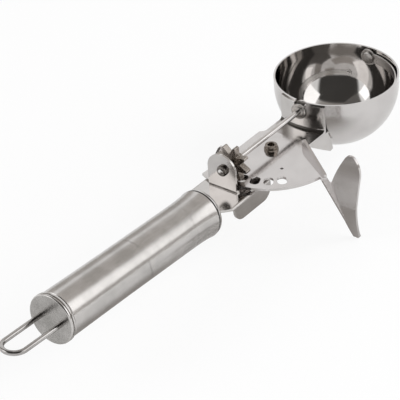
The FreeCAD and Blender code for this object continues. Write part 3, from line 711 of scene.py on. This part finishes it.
@dataclass(frozen=True)
class PressedPiece:
    """A piece whose solid only needs its edges rounded and a finish.

    Attributes:
        node: its CAD node.
        name: name of the finished piece.
        body: the body that it rides on.
        finish: its finish.
        edge: width of the rounding.
        edge_deg: edges sharper than this are rounded.
        smooth_deg: edges sharper than this are shaded sharp.
        flat_deg: angle for dissolving flat seams.
    """

    node: str
    name: str
    body: Body
    finish: Finish
    edge: float
    edge_deg: float
    smooth_deg: float
    flat_deg: float = 0.5

    def make(self, bend: Callable[[Piece], None] | None = None, patch: Patch | None = None) -> None:
        """Makes the piece.

        Args:
            bend: a step that comes before the rounding.
            patch: a second finish on some of its faces.
        """
        piece = copy_of(self.node, self.name, self.flat_deg)
        if bend is not None:
            bend(piece)
        round_edges(piece, self.edge, 2, self.edge_deg)
        complete(piece, self.node, self.body, self.finish, self.smooth_deg, patch)


@dataclass
class BowlAssembly:
    """The spun bowl with its far pivot rivet.

    Attributes:
        radius: outer radius of the bowl.
        wall: sheet thickness.
        rim: width of the rounding along the rim and the slot.
        slot_radius: half width of the rim's slot for the bush.
        pin_radius: radius of the far rivet's shank.
        head_radius: radius of the rivet's heads.
        head_height: height of the rivet's heads.
        mirror_lean: how far inwards a face leans before it counts as the mirror inside.
    """

    radius: float = 28.0 * MM
    wall: float = 0.8 * MM
    rim: float = 0.28 * MM
    slot_radius: float = 2.63 * MM
    pin_radius: float = 1.5 * MM
    head_radius: float = 2.7 * MM
    head_height: float = 0.8 * MM
    mirror_lean: float = 0.3

    def build(self) -> None:
        """Makes the bowl and its rivet."""
        self._shell()
        self._rivet()

    def _shell(self) -> None:
        """Makes the bowl: a ball cut open, drawn up to the rim, thickened, slotted and rounded."""
        deselect()
        centre = Vector((0, 0, SHAFT_Z))
        bpy.ops.mesh.primitive_uv_sphere_add(segments=128, ring_count=64, radius=self.radius,
                                             location=centre)
        shell = named("bowl_shell")
        with editing():
            bpy.ops.mesh.bisect(plane_co=centre, plane_no=(0, 0, 1), clear_outer=True)
            bpy.ops.mesh.select_all(action="DESELECT")
        for vertex in shell.data.vertices:
            vertex.select = abs(vertex.co.z - SHAFT_Z) < SNUG
        for edge in shell.data.edges:
            edge.select = all(shell.data.vertices[i].select for i in edge.vertices)
        half_way = {"value": (0, 0, -SHAFT_Z * 0.5)}
        with editing(everything=False):
            for _ in range(2):
                bpy.ops.mesh.extrude_edges_move(TRANSFORM_OT_translate=half_way)
        tidy_mesh(shell)
        wall = shell.modifiers.new("wall", "SOLIDIFY")
        wall.thickness = self.wall
        wall.offset = -1.0
        wall.use_even_offset = True
        apply_modifiers(shell)
        self._slot_and_hole(shell)
        round_edges(shell, self.rim, 3, 50.0)
        complete(shell, "bowl", Body.FRAME, SATIN_BOWL, 30.0, (MIRROR_BOWL, self._inside))

    def _inside(self, face: bpy.types.MeshPolygon) -> bool:
        """Tells whether a face of the bowl looks inwards.

        Args:
            face: the face.

        Returns:
            True for the inside.
        """
        height = min(0.0, face.center.z - SHAFT_Z)
        from_axis = Vector((face.center.x, face.center.y, height))
        return face.normal.dot(from_axis) < -self.mirror_lean * from_axis.length

    def _slot_and_hole(self, shell: Piece) -> None:
        """Cuts the near slot for the bush and the far hole for the rivet.

        Args:
            shell: the bowl's mesh.
        """
        outside = Vector((self.radius + 2 * MM, 0, 0))
        inside = Vector((self.radius - 4 * MM, 0, 0))
        shaft = Vector((0, 0, SHAFT_Z))
        cut(shell, rod("slot_drill", self.slot_radius, shaft - outside, shaft - inside))
        deselect()
        height = 1.0 * MM - SHAFT_Z
        bpy.ops.mesh.primitive_cube_add(
            size=1.0, location=shaft - (outside + inside) / 2 + Vector((0, 0, height / 2)),
            scale=((outside - inside).x, 2 * self.slot_radius, height))
        cut(shell, named("mouth_cutter"))
        cut(shell, rod("far_drill", self.pin_radius + PLAY, shaft + inside, shaft + outside))

    def _rivet(self) -> None:
        """Makes the far rivet with a domed head on each side."""
        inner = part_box("far_pivot_washer")[0][0] - PLAY
        outer = self.radius + PLAY
        tall = self.head_height
        profile = [(inner - tall, 0.0), *self._dome(inner, -tall)]
        profile += [(inner, self.pin_radius), (outer, self.pin_radius)]
        profile += [*reversed(self._dome(outer, tall)), (outer + tall, 0.0)]
        shaft = Vector((0, 0, SHAFT_Z))
        rivet = turned("far_rivet", profile, Turn.SHAFT, shaft, 48)
        complete(rivet, "far_pivot_rivet", Body.FRAME, FAR_RIVET, 40.0)

    def _dome(self, base: float, tall: float) -> list[Pair]:
        """Gives the stations of a domed head from its top to its base.

        Args:
            base: place of the head's flat underside.
            tall: height of the head, below 0 if it points along -X.

        Returns:
            Stations in order from the crown to the underside.
        """
        side, dome = 0.35, 0.65
        stations = []
        for step in range(1, 7):
            angle = math.radians(90 - step * 14)
            stations.append((base + tall * (side + dome * math.sin(angle)),
                             self.head_radius * math.cos(angle) ** 0.9))
        stations += [(base + tall * 0.3, self.head_radius), (base, self.head_radius)]
        return stations


@dataclass
class ScraperAssembly:
    """The band that sweeps the bowl, its shaft, pinion and the nut behind the ear.

    Attributes:
        shaft_radius: radius of the shaft.
        head_radius: radius of its riveted head inside the bowl.
        head_height: height of that head.
        nut_radius: radius of the nut behind the ear.
    """

    shaft_radius: float = 1.2 * MM
    head_radius: float = 2.2 * MM
    head_height: float = 0.9 * MM
    nut_radius: float = 2.5 * MM

    def build(self) -> None:
        """Makes the scraper's pieces."""
        PressedPiece("scraper_band", "scraper_strip", Body.SCRAPER, WORN_STRIP,
                     0.12 * MM, 50.0, 30.0, flat_deg=0.0).make()
        self._shaft()
        self._nut()
        PressedPiece("pinion", "toothed_wheel", Body.SCRAPER, PINION, 0.16 * MM, 25.0, 35.0).make()
        dress_nodes(PINION, "pinion_collar", "pinion_spacer")

    def _shaft(self) -> None:
        """Turns the long shaft with a chamfered tail and a domed head."""
        r, wide = self.shaft_radius, self.head_radius
        low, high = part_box("scraper_shaft")
        rear, top = low[0], high[0]
        head = top - self.head_height
        profile = [(rear, 0.0), (rear, r * 0.7), (rear + 0.25 * MM, r)]
        profile += [(rear + s * (head - rear), r) for s in (0.05, 0.25, 0.5, 0.75, 0.97)]
        profile += [(head, r), (head, wide), (head + 0.35 * MM, wide), (top - 0.2 * MM, wide * 0.82),
                    (top - 0.04 * MM, wide * 0.5), (top, 0.0)]
        self._turn("long_shaft", profile, "scraper_shaft", BRIGHT_WIRE)

    def _nut(self) -> None:
        """Turns the domed nut on the shaft's rear end."""
        r = self.nut_radius
        bore = self.shaft_radius + PLAY
        low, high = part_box("shaft_push_nut")
        back, face = low[0], high[0]
        profile = [(face, bore), (face, r), (back + 0.7 * MM, r), (back + 0.25 * MM, r * 0.93),
                   (back + 0.05 * MM, r * 0.8), (back, r * 0.66), (back + 0.12 * MM, bore)]
        self._turn("domed_nut", profile, "shaft_push_nut", DARK_NUT)

    def _turn(self, name: str, profile: Sequence[Pair], node: str, finish: Finish) -> None:
        """Turns one piece about the shaft's axis, in place of its node."""
        piece = turned(name, profile, Turn.SHAFT, Vector((0, 0, SHAFT_Z)), 48)
        complete(piece, node, Body.SCRAPER, finish, 35.0)


@dataclass
class LeverAssembly:
    """The windowed lever with its thumb plate, on its hollow rivet.

    Attributes:
        pivot: the rivet's centre.
        head_height: height of the rivet's head above the sheet.
        flange_height: height of its flange.
        flange_radius: radius of its flange.
        crown_radius: radius of its crown.
        bore_radius: radius of the recess in its crown.
        bore_depth: depth of that recess.
        stem_radius: radius of its stem.
        foot_height: height of its foot.
        still_z: height up to which the spring stays with the frame; not used.
        free_z: height from which the spring follows the lever; not used.
    """

    pivot: Triple = (-52.0 * MM, -1.0 * MM, 0.0)
    head_height: float = 2.5 * MM
    flange_height: float = 1.0 * MM
    flange_radius: float = 3.2 * MM
    crown_radius: float = 2.7 * MM
    bore_radius: float = 1.5 * MM
    bore_depth: float = 2.0 * MM
    stem_radius: float = 2.4 * MM
    foot_height: float = 0.9 * MM
    still_z: float = -19.25 * MM
    free_z: float = -16.45 * MM

    def build(self) -> None:
        """Makes the lever, its rivet and the spring below."""
        PressedPiece("thumb_lever", "windowed_lever", Body.LEVER, LEVER_SHEET,
                     0.18 * MM, 35.0, 32.0).make()
        self._rivet()
        self._spring()
        dress_nodes(BRIGHT, "lever_washer", "spring_cup_washer")

    def _rivet(self) -> None:
        """Turns the hollow-headed rivet."""
        low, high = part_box("lever_rivet")
        bottom, top = low[2], high[2]
        base = top - self.head_height
        foot, foot_top = (high[0] - low[0]) / 2, bottom + self.foot_height
        flange, flange_top = self.flange_radius, base + self.flange_height
        crown, bore, stem = self.crown_radius, self.bore_radius, self.stem_radius
        foot_edge, edge, crown_edge = 0.3 * MM, 0.35 * MM, 0.4 * MM
        profile = [
            (bottom, 0.0), (bottom, foot - foot_edge), (bottom + foot_edge, foot), (foot_top, foot),
            (foot_top, stem), (base, stem),
            (base, flange), (flange_top - edge, flange), (flange_top - 0.1 * MM, flange - 0.1 * MM),
            (flange_top, flange - edge), (flange_top, crown),
            (top - crown_edge, crown), (top - 0.12 * MM, crown - 0.12 * MM), (top, crown - crown_edge),
            (top, bore + 0.25 * MM), (top - 0.2 * MM, bore),
            (top - self.bore_depth + 0.1 * MM, bore), (top - self.bore_depth, 0.0)]
        rivet = turned("hollow_rivet", profile, Turn.UPRIGHT, Vector(self.pivot), 64)
        complete(rivet, "lever_rivet", Body.FRAME, DULL_RIVET, 35.0)

    def _spring(self) -> None:
        """Makes a smoothed, dressed copy of the spring in place of its node; it is not put on a body.
        """
        spring = copy_of("return_spring", "wound_spring", 0.0)
        smooth(spring, 50.0)
        dress(spring, SPRING)
        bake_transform(spring)
        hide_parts("return_spring")
        log.info("%s: %d faces, between frame and lever", spring.name, len(spring.data.polygons))


@dataclass
class BracketAssembly:
    """The two bent sheets between the handle and the bowl, and the bush in the rim's slot.

    Attributes:
        edge: width of the rounding along the sheets' edges.
        fold: outside radius of the ear's bend.
        deck: height of the bracket's flat deck.
        crease: least and greatest distance of the collar's crease from the bowl's upright axis.
        crease_height: how far the crease reaches above and below the deck's top.
        crease_lean: least and greatest lean of its faces away from that axis.
    """

    edge: float = 0.18 * MM
    fold: float = 0.9 * MM
    deck: float = -13.0 * MM
    crease: Pair = (28.9 * MM, 30.5 * MM)
    crease_height: float = 1.2 * MM
    crease_lean: Pair = (0.12, 0.97)

    def build(self) -> None:
        """Makes both sheets and the bush."""
        for node, name, bend, patch in (
                # The bracket's crease by the bowl takes the painted shade.
                ("bearing_bracket", "eared_bracket", self._fold_ear, (CREASE_SHADE, self._in_crease)),
                ("shank", "flanged_shank", None, None)):
            PressedPiece(node, name, Body.FRAME, SHEET, self.edge, 35.0, 32.0).make(bend, patch)
        PressedPiece("shaft_bush", "flanged_bush", Body.FRAME, BUSH, 0.15 * MM, 40.0, 35.0).make()
        dress_nodes(BRIGHT, "far_pivot_washer")

    def _in_crease(self, face: bpy.types.MeshPolygon) -> bool:
        """Tells whether a face lies in the crease between the deck and the bowl's collar, which takes
        the painted shade.

        Args:
            face: the face.

        Returns:
            True in the crease.
        """
        spot = Vector((face.center.x, face.center.y, 0.0))
        if not self.crease[0] < spot.length < self.crease[1]:
            return False
        lean = face.normal.dot(spot.normalized())
        low, high = self.crease_lean
        near = abs(face.center.z - self.deck) < self.crease_height
        return near and low < lean < high and face.normal.z > 0.2

    def _fold_ear(self, sheet: Piece) -> None:
        """Rounds the outside of the ear's bend, low down at its back.

        Args:
            sheet: the bracket's mesh.
        """
        low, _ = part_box("bearing_bracket")
        back, under = low[0] + 0.05 * MM, low[2] + 0.05 * MM
        corner = {v.index for v in sheet.data.vertices if v.co.x < back and v.co.z < under}
        pick(sheet)
        with editing(everything=False):
            bpy.ops.mesh.select_mode(type="EDGE")
            bpy.ops.mesh.select_all(action="DESELECT")
        for edge in sheet.data.edges:
            edge.select = set(edge.vertices) <= corner
        with editing(everything=False):
            bpy.ops.mesh.bevel(offset=self.fold, segments=5, affect="EDGES")


@dataclass
class HandleAssembly:
    """The steel handle with its two caps and the hanging loop.

    Its pieces are drawn along +X from the butt and then set on the slope.

    Attributes:
        butt: the rear cap's centre.
        slope: downward slope towards the bowl, in degrees.
        tube_start: where the tube begins.
        tube_end: where the front cap's rim begins.
        seam: open seam between the tube and that rim.
        lip: rounding of the tube's ends.
        rear_radius: outside radius of the tube at the rear.
        mid_radius: outside radius at the waist.
        front_radius: outside radius at the front.
        waist: place and growth over mid_radius of the stations between, in millimetres.
        wall: tube wall.
        cap_radius: radius of the rear cap.
        cap_thick: thickness of its rim.
        rolled_edge: place from its face and depth under its radius, in millimetres.
        inner_edge: the same, with the place from the rim's inner side.
        neck: length of the neck behind the rim.
        plug_length: length of the plug in the tube.
        plug_slack: gap between the plug and the tube.
        wire: radius of the loop's wire.
        loop_half: half the distance between the loop's legs.
        loop_reach: how far the loop stands out.
        keeper: thickness of the plate that holds the loop's ends.
        stub: how far they stand past it.
    """

    butt: Triple = (-197.4 * MM, 0.0, -11.3 * MM)
    slope: float = 3.2
    tube_start: float = 3.1 * MM
    tube_end: float = 95.2 * MM
    seam: float = 0.5 * MM
    lip: float = 0.25 * MM
    rear_radius: float = 10.45 * MM
    mid_radius: float = 10.2 * MM
    front_radius: float = 10.9 * MM
    waist: tuple[Pair, ...] = ((20.0, 0.12), (40.0, 0.0), (60.0, 0.0), (80.0, 0.0),
                                  (84.0, 0.01), (87.5, 0.1), (91.0, 0.27), (93.4, 0.48))
    wall: float = 0.8 * MM
    cap_radius: float = 10.95 * MM
    cap_thick: float = 2.6 * MM
    rolled_edge: tuple[Pair, ...] = ((0.0, 0.75), (0.08, 0.4), (0.3, 0.14), (0.65, 0.0),
                                        (0.95, 0.0), (1.1, 0.4), (1.5, 0.4), (1.65, 0.0))
    inner_edge: tuple[Pair, ...] = ((-0.3, 0.0), (-0.08, 0.12), (0.0, 0.35), (0.0, 0.95))
    neck: float = 0.5 * MM
    plug_length: float = 6.0 * MM
    plug_slack: float = 0.11 * MM
    wire: float = 1.1 * MM
    loop_half: float = 5.3 * MM
    loop_reach: float = 26.78 * MM
    keeper: float = 1.4 * MM
    stub: float = 3.0 * MM

    def build(self) -> None:
        """Makes the tube, both caps and the loop."""
        self._tube()
        self._rear_cap()
        PressedPiece("front_cap", "front_end_cap", Body.FRAME, CAP_RIM, 0.2 * MM, 50.0, 32.0,
                     flat_deg=0.0).make()
        self._loop()
        dress_nodes(CORE, "handle_core")
        dress_nodes(SHEET, "loop_keeper")
        dress_nodes(BRIGHT, "tang_pin")

    def _place(self, piece: Piece) -> None:
        """Sets a piece drawn along +X from the butt on the sloping handle.

        Args:
            piece: the piece.
        """
        piece.rotation_euler = (0.0, math.radians(self.slope), 0.0)
        piece.location = self.butt
        settle(piece)

    def _tube(self) -> None:
        """Turns the tube with its slight waist and the swage at the front."""
        a, b, lip = self.tube_start, self.tube_end - self.seam, self.lip
        rear, mid, front = self.rear_radius, self.mid_radius, self.front_radius
        outside = [(a, rear - lip), (a + lip, rear), (a + 5 * MM, rear - 0.03 * MM)]
        outside += [(place * MM, mid + growth * MM) for place, growth in self.waist]
        outside += [(b - lip, front - 0.02 * MM), (b, front - 0.2 * MM)]
        bore = [(b, front), (b - 3.5 * MM, mid + 0.2 * MM), (84 * MM, mid), (40 * MM, mid), (a, rear)]
        inside = [(place, radius - self.wall) for place, radius in bore]
        tube = turned("handle_sleeve", outside + inside, Turn.SHAFT, Vector((0, 0, 0)), 128)
        self._place(tube)
        complete(tube, "handle_tube", Body.FRAME, HANDLE, 30.0)

    def _rear_cap(self) -> None:
        """Turns the rear cap with its rolled edge, the groove in it and the neck before the tube."""
        r, t = self.cap_radius, self.cap_thick
        plug = self.rear_radius - self.wall - self.plug_slack
        shoulder = t + self.neck
        end = shoulder + self.plug_length
        profile = [(0.0, 0.0), (0.0, r * 0.5)]
        profile += [(place * MM, r - depth * MM) for place, depth in self.rolled_edge]
        profile += [(t + place * MM, r - depth * MM) for place, depth in self.inner_edge]
        profile += [(shoulder, profile[-1][1]), (shoulder, plug), (end, plug), (end, 0.0)]
        cap = turned("rear_end_cap", profile, Turn.SHAFT, Vector((0, 0, 0)), 128)
        for side in (-1, 1):
            leg = Vector((0, side * self.loop_half, 0))
            cut(cap, rod("loop_drill", self.wire + PLAY, leg - Vector((2 * MM, 0, 0)),
                                     leg + Vector((12 * MM, 0, 0)), 40))
        self._place(cap)
        rim = (CAP_RIM, lambda face: abs(face.normal.x) < 0.9)
        complete(cap, "rear_cap", Body.FRAME, CAP, 30.0, rim)

    def _loop(self) -> None:
        """Bends the loop: a round wire drawn straight, spun round the bend and drawn back."""
        inside = self.cap_thick + self.neck + self.plug_length + self.keeper + self.stub
        bend = -self.loop_reach + self.loop_half + self.wire
        deselect()
        bpy.ops.mesh.primitive_circle_add(
            vertices=32, radius=self.wire, fill_type="NGON", location=(inside, -self.loop_half, 0),
            rotation=(0, math.pi / 2, 0))
        loop = named("wire_loop")
        with editing():
            bpy.ops.mesh.extrude_region_move(TRANSFORM_OT_translate={"value": (bend - inside, 0, 0)})
            bpy.ops.mesh.spin(steps=48, angle=math.pi, center=(bend, 0, 0), axis=(0, 0, 1))
            bpy.ops.mesh.extrude_region_move(TRANSFORM_OT_translate={"value": (inside - bend, 0, 0)})
        tidy_mesh(loop)
        self._place(loop)
        complete(loop, "hanging_loop", Body.FRAME, LOOP_WIRE, 40.0)


@dataclass(frozen=True)
class Stand:
    """Where a lamp or a card stands.

    Attributes:
        place: its middle.
        turn: its turn.
    """

    place: Vector
    turn: Euler

    @classmethod
    def around(cls, azimuth: float, elevation: float, distance: float) -> "Stand":
        """Stands it round the object, facing the object's middle.

        Args:
            azimuth: degrees from +X towards +Y.
            elevation: degrees above the table.
            distance: metres.

        Returns:
            The stand.
        """
        a, e = math.radians(azimuth), math.radians(elevation)
        way = Vector((math.cos(e) * math.cos(a), math.cos(e) * math.sin(a), math.sin(e)))
        return cls(MIDDLE + distance * way, (-way).to_track_quat("-Z", "Y").to_euler())

    @classmethod
    def on_floor(cls, x: float, y: float) -> "Stand":
        """Lays it flat, a hair above the floor, facing up."""
        return cls(Vector((x, y, CAD_LOW[2] - 0.2 * MM)), Euler((0.0, 0.0, 0.0)))


@dataclass(frozen=True)
class Card:
    """A studio card that only shows in the steel's reflections, with soft edges.

    Attributes:
        name: object name.
        stand: where it stands.
        size: width and height.
        tone: brightness of the card.
        soft: share of the half width over which each edge fades out.
        warmth: how far red stands above and blue below the tone.
    """

    name: str
    stand: Stand
    size: Pair
    tone: float
    soft: float = 0.25
    warmth: float = 0.05

    def set_up(self) -> None:
        """Adds the card to the scene as stage."""
        deselect()
        bpy.ops.mesh.primitive_plane_add(size=1.0, location=self.stand.place,
                                         rotation=self.stand.turn)
        card = bpy.context.object
        card.name = self.name
        card.scale = (self.size[0], self.size[1], 1.0)
        made = bpy.data.materials.new(self.name)
        wiring = Wiring.blank(made)
        colour = (self.tone * (1 + self.warmth), self.tone, self.tone * (1 - self.warmth), 1.0)
        glow = wiring.add("Emission", {"Color": colour}).outputs[0]
        clear = wiring.add("BsdfTransparent").outputs[0]
        wiring.end_in("OutputMaterial", self._fade(wiring), clear, glow)
        card.data.materials.append(made)
        card.visible_camera = False
        card.visible_diffuse = False
        card.visible_shadow = False

    def _fade(self, wiring: Wiring) -> Socket:
        """Adds a value that is 1 in the middle of the card and 0 at its edges.

        Args:
            wiring: wiring of the card's material.

        Returns:
            The value.
        """
        place = wiring.add("TexCoord").outputs["Object"]
        parts = wiring.add("SeparateXYZ", {"Vector": place})
        span = (0.5 * (1 - self.soft), 0.5)
        fades = [wiring.remap(wiring.reckon("ABSOLUTE", parts.outputs[way]), span, (1.0, 0.0),
                              interpolation_type="SMOOTHSTEP") for way in ("X", "Y")]
        return wiring.reckon("MULTIPLY", *fades)


@dataclass(frozen=True)
class Softbox:
    """One area lamp with its diffusing sheet.

    Attributes:
        sheet: the sheet that shows in reflections.
        power: output of the lamp in watts.
    """

    sheet: Card
    power: float

    def set_up(self) -> None:
        """Adds the lamp and its sheet to the scene."""
        data = bpy.data.lights.new(self.sheet.name + "_lamp", "AREA")
        data.shape = "RECTANGLE"
        data.size, data.size_y = self.sheet.size
        data.energy = self.power
        lamp = bpy.data.objects.new(data.name, data)
        lamp.location = self.sheet.stand.place
        lamp.rotation_euler = self.sheet.stand.turn
        lamp.visible_glossy = False
        bpy.context.scene.collection.objects.link(lamp)
        self.sheet.set_up()


@dataclass
class Studio:
    """The floor, the lamps, the cards, the world and the camera.

    Attributes:
        eye: camera position.
        right: camera's right direction.
        up: camera's up direction.
        back: direction from the scene to the camera.
        lens: focal length in millimetres on a 36 mm sensor.
        lamps: the softboxes.
        cards: the reflection cards.
        paper: brightness of the floor.
        floor_glow: share of plain white in the floor that the camera sees.
        floor_glow_in_steel: the same for the floor that shows in the steel.
        fill: strength of the world as a light.
    """

    eye: Triple = (-0.6384, -0.4434, 0.4537)
    right: Triple = (0.6036, -0.7949, -0.0613)
    up: Triple = (0.4731, 0.2953, 0.8300)
    back: Triple = (-0.6417, -0.5300, 0.5544)
    lens: float = 180.8
    lamps: tuple[Softbox, ...] = (
        Softbox(Card("lever_side_box", Stand.around(-64.0, 31.0, 1.5), (1.3, 1.1),
                     1.7, 0.15, 0.0), 18.0),
        Softbox(Card("far_side_box", Stand.around(139.0, 29.0, 1.5), (0.66, 0.7),
                     1.9, 0.15, 0.0), 5.0),
    )
    cards: tuple[Card, ...] = (
        Card("overhead_card", Stand.around(-110.0, 80.0, 2.3), (2.8, 2.8), 0.36, 0.5),
        Card("back_card", Stand.around(0.0, 55.0, 2.1), (2.6, 1.1), 0.55),
        Card("dark_card", Stand.around(-150.0, 45.0, 1.9), (3.6, 2.4), 0.06),
        Card("far_dark_card", Stand.around(122.0, 63.0, 2.0), (2.2, 1.3), 0.15),
        Card("grey_card", Stand.around(101.0, 32.0, 2.2), (1.0, 1.4), 0.4),
        Card("low_card", Stand.around(-50.0, 3.0, 1.9), (2.6, 0.7), 0.5),
        Card("side_card", Stand.around(57.0, 11.0, 2.1), (1.3, 1.2), 0.5),
        Card("shade_under_lever", Stand.on_floor(-0.068, -0.022), (0.105, 0.085), 0.36, 0.75),
        Card("shade_under_handle", Stand.on_floor(-0.15, 0.0), (0.16, 0.08), 0.35, 0.8),
    )
    paper: float = 0.9
    floor_glow: float = 0.85
    floor_glow_in_steel: float = 0.2
    fill: float = 0.6

    def set_up(self) -> None:
        """Sets the whole studio up."""
        self._floor()
        for fitting in (*self.lamps, *self.cards):
            fitting.set_up()
        self._world()
        self._camera()
        bpy.context.scene.view_settings.view_transform = "Standard"

    def _floor(self) -> None:
        """Lays the pale floor just under the lowest point."""
        deselect()
        bpy.ops.mesh.primitive_plane_add(size=6.0, location=(0.0, 0.0, CAD_LOW[2] - 0.5 * MM))
        floor = bpy.context.object
        floor.name = "floor"
        made = bpy.data.materials.new("floor_paper")
        wiring = Wiring.blank(made)
        paper = wiring.add("BsdfDiffuse", {"Color": (*3 * (self.paper,), 1.0)}).outputs[0]
        glow = wiring.add("Emission", {"Color": WHITE}).outputs[0]
        share = wiring.by_ray(self.floor_glow, self.floor_glow_in_steel)
        wiring.end_in("OutputMaterial", share, paper, glow)
        floor.data.materials.append(made)

    def _world(self) -> None:
        """Lights the scene with a plain world that shows as white."""
        world = bpy.data.worlds.new("studio")
        bpy.context.scene.world = world
        wiring = Wiring.blank(world)
        fill, white = (wiring.add("Background", {"Color": WHITE, "Strength": strength}).outputs[0]
                       for strength in (self.fill, 1.0))
        wiring.end_in("OutputWorld", wiring.by_ray(1.0, 1.0), fill, white)

    def _camera(self) -> None:
        """Stands the camera at the photograph's viewpoint."""
        data = bpy.data.cameras.new("camera")
        data.lens = self.lens
        data.sensor_width = 36.0
        data.sensor_fit = "HORIZONTAL"
        data.clip_start = 0.01
        data.clip_end = 50.0
        camera = bpy.data.objects.new("camera", data)
        turn = Matrix((self.right, self.up, self.back)).transposed().to_quaternion()
        camera.matrix_world = Matrix.Translation(Vector(self.eye)) @ turn.to_matrix().to_4x4()
        bpy.context.scene.collection.objects.link(camera)
        bpy.context.scene.camera = camera


def main() -> None:
    """Builds each sub-assembly and the studio, and reports the pieces."""
    logging.basicConfig(level=logging.INFO, format="%(name)s %(message)s")
    for assembly in (BowlAssembly(), ScraperAssembly(), LeverAssembly(), BracketAssembly(),
                     HandleAssembly()):
        assembly.build()
    Studio().set_up()
    deselect()


if __name__ == "__main__":
    main()
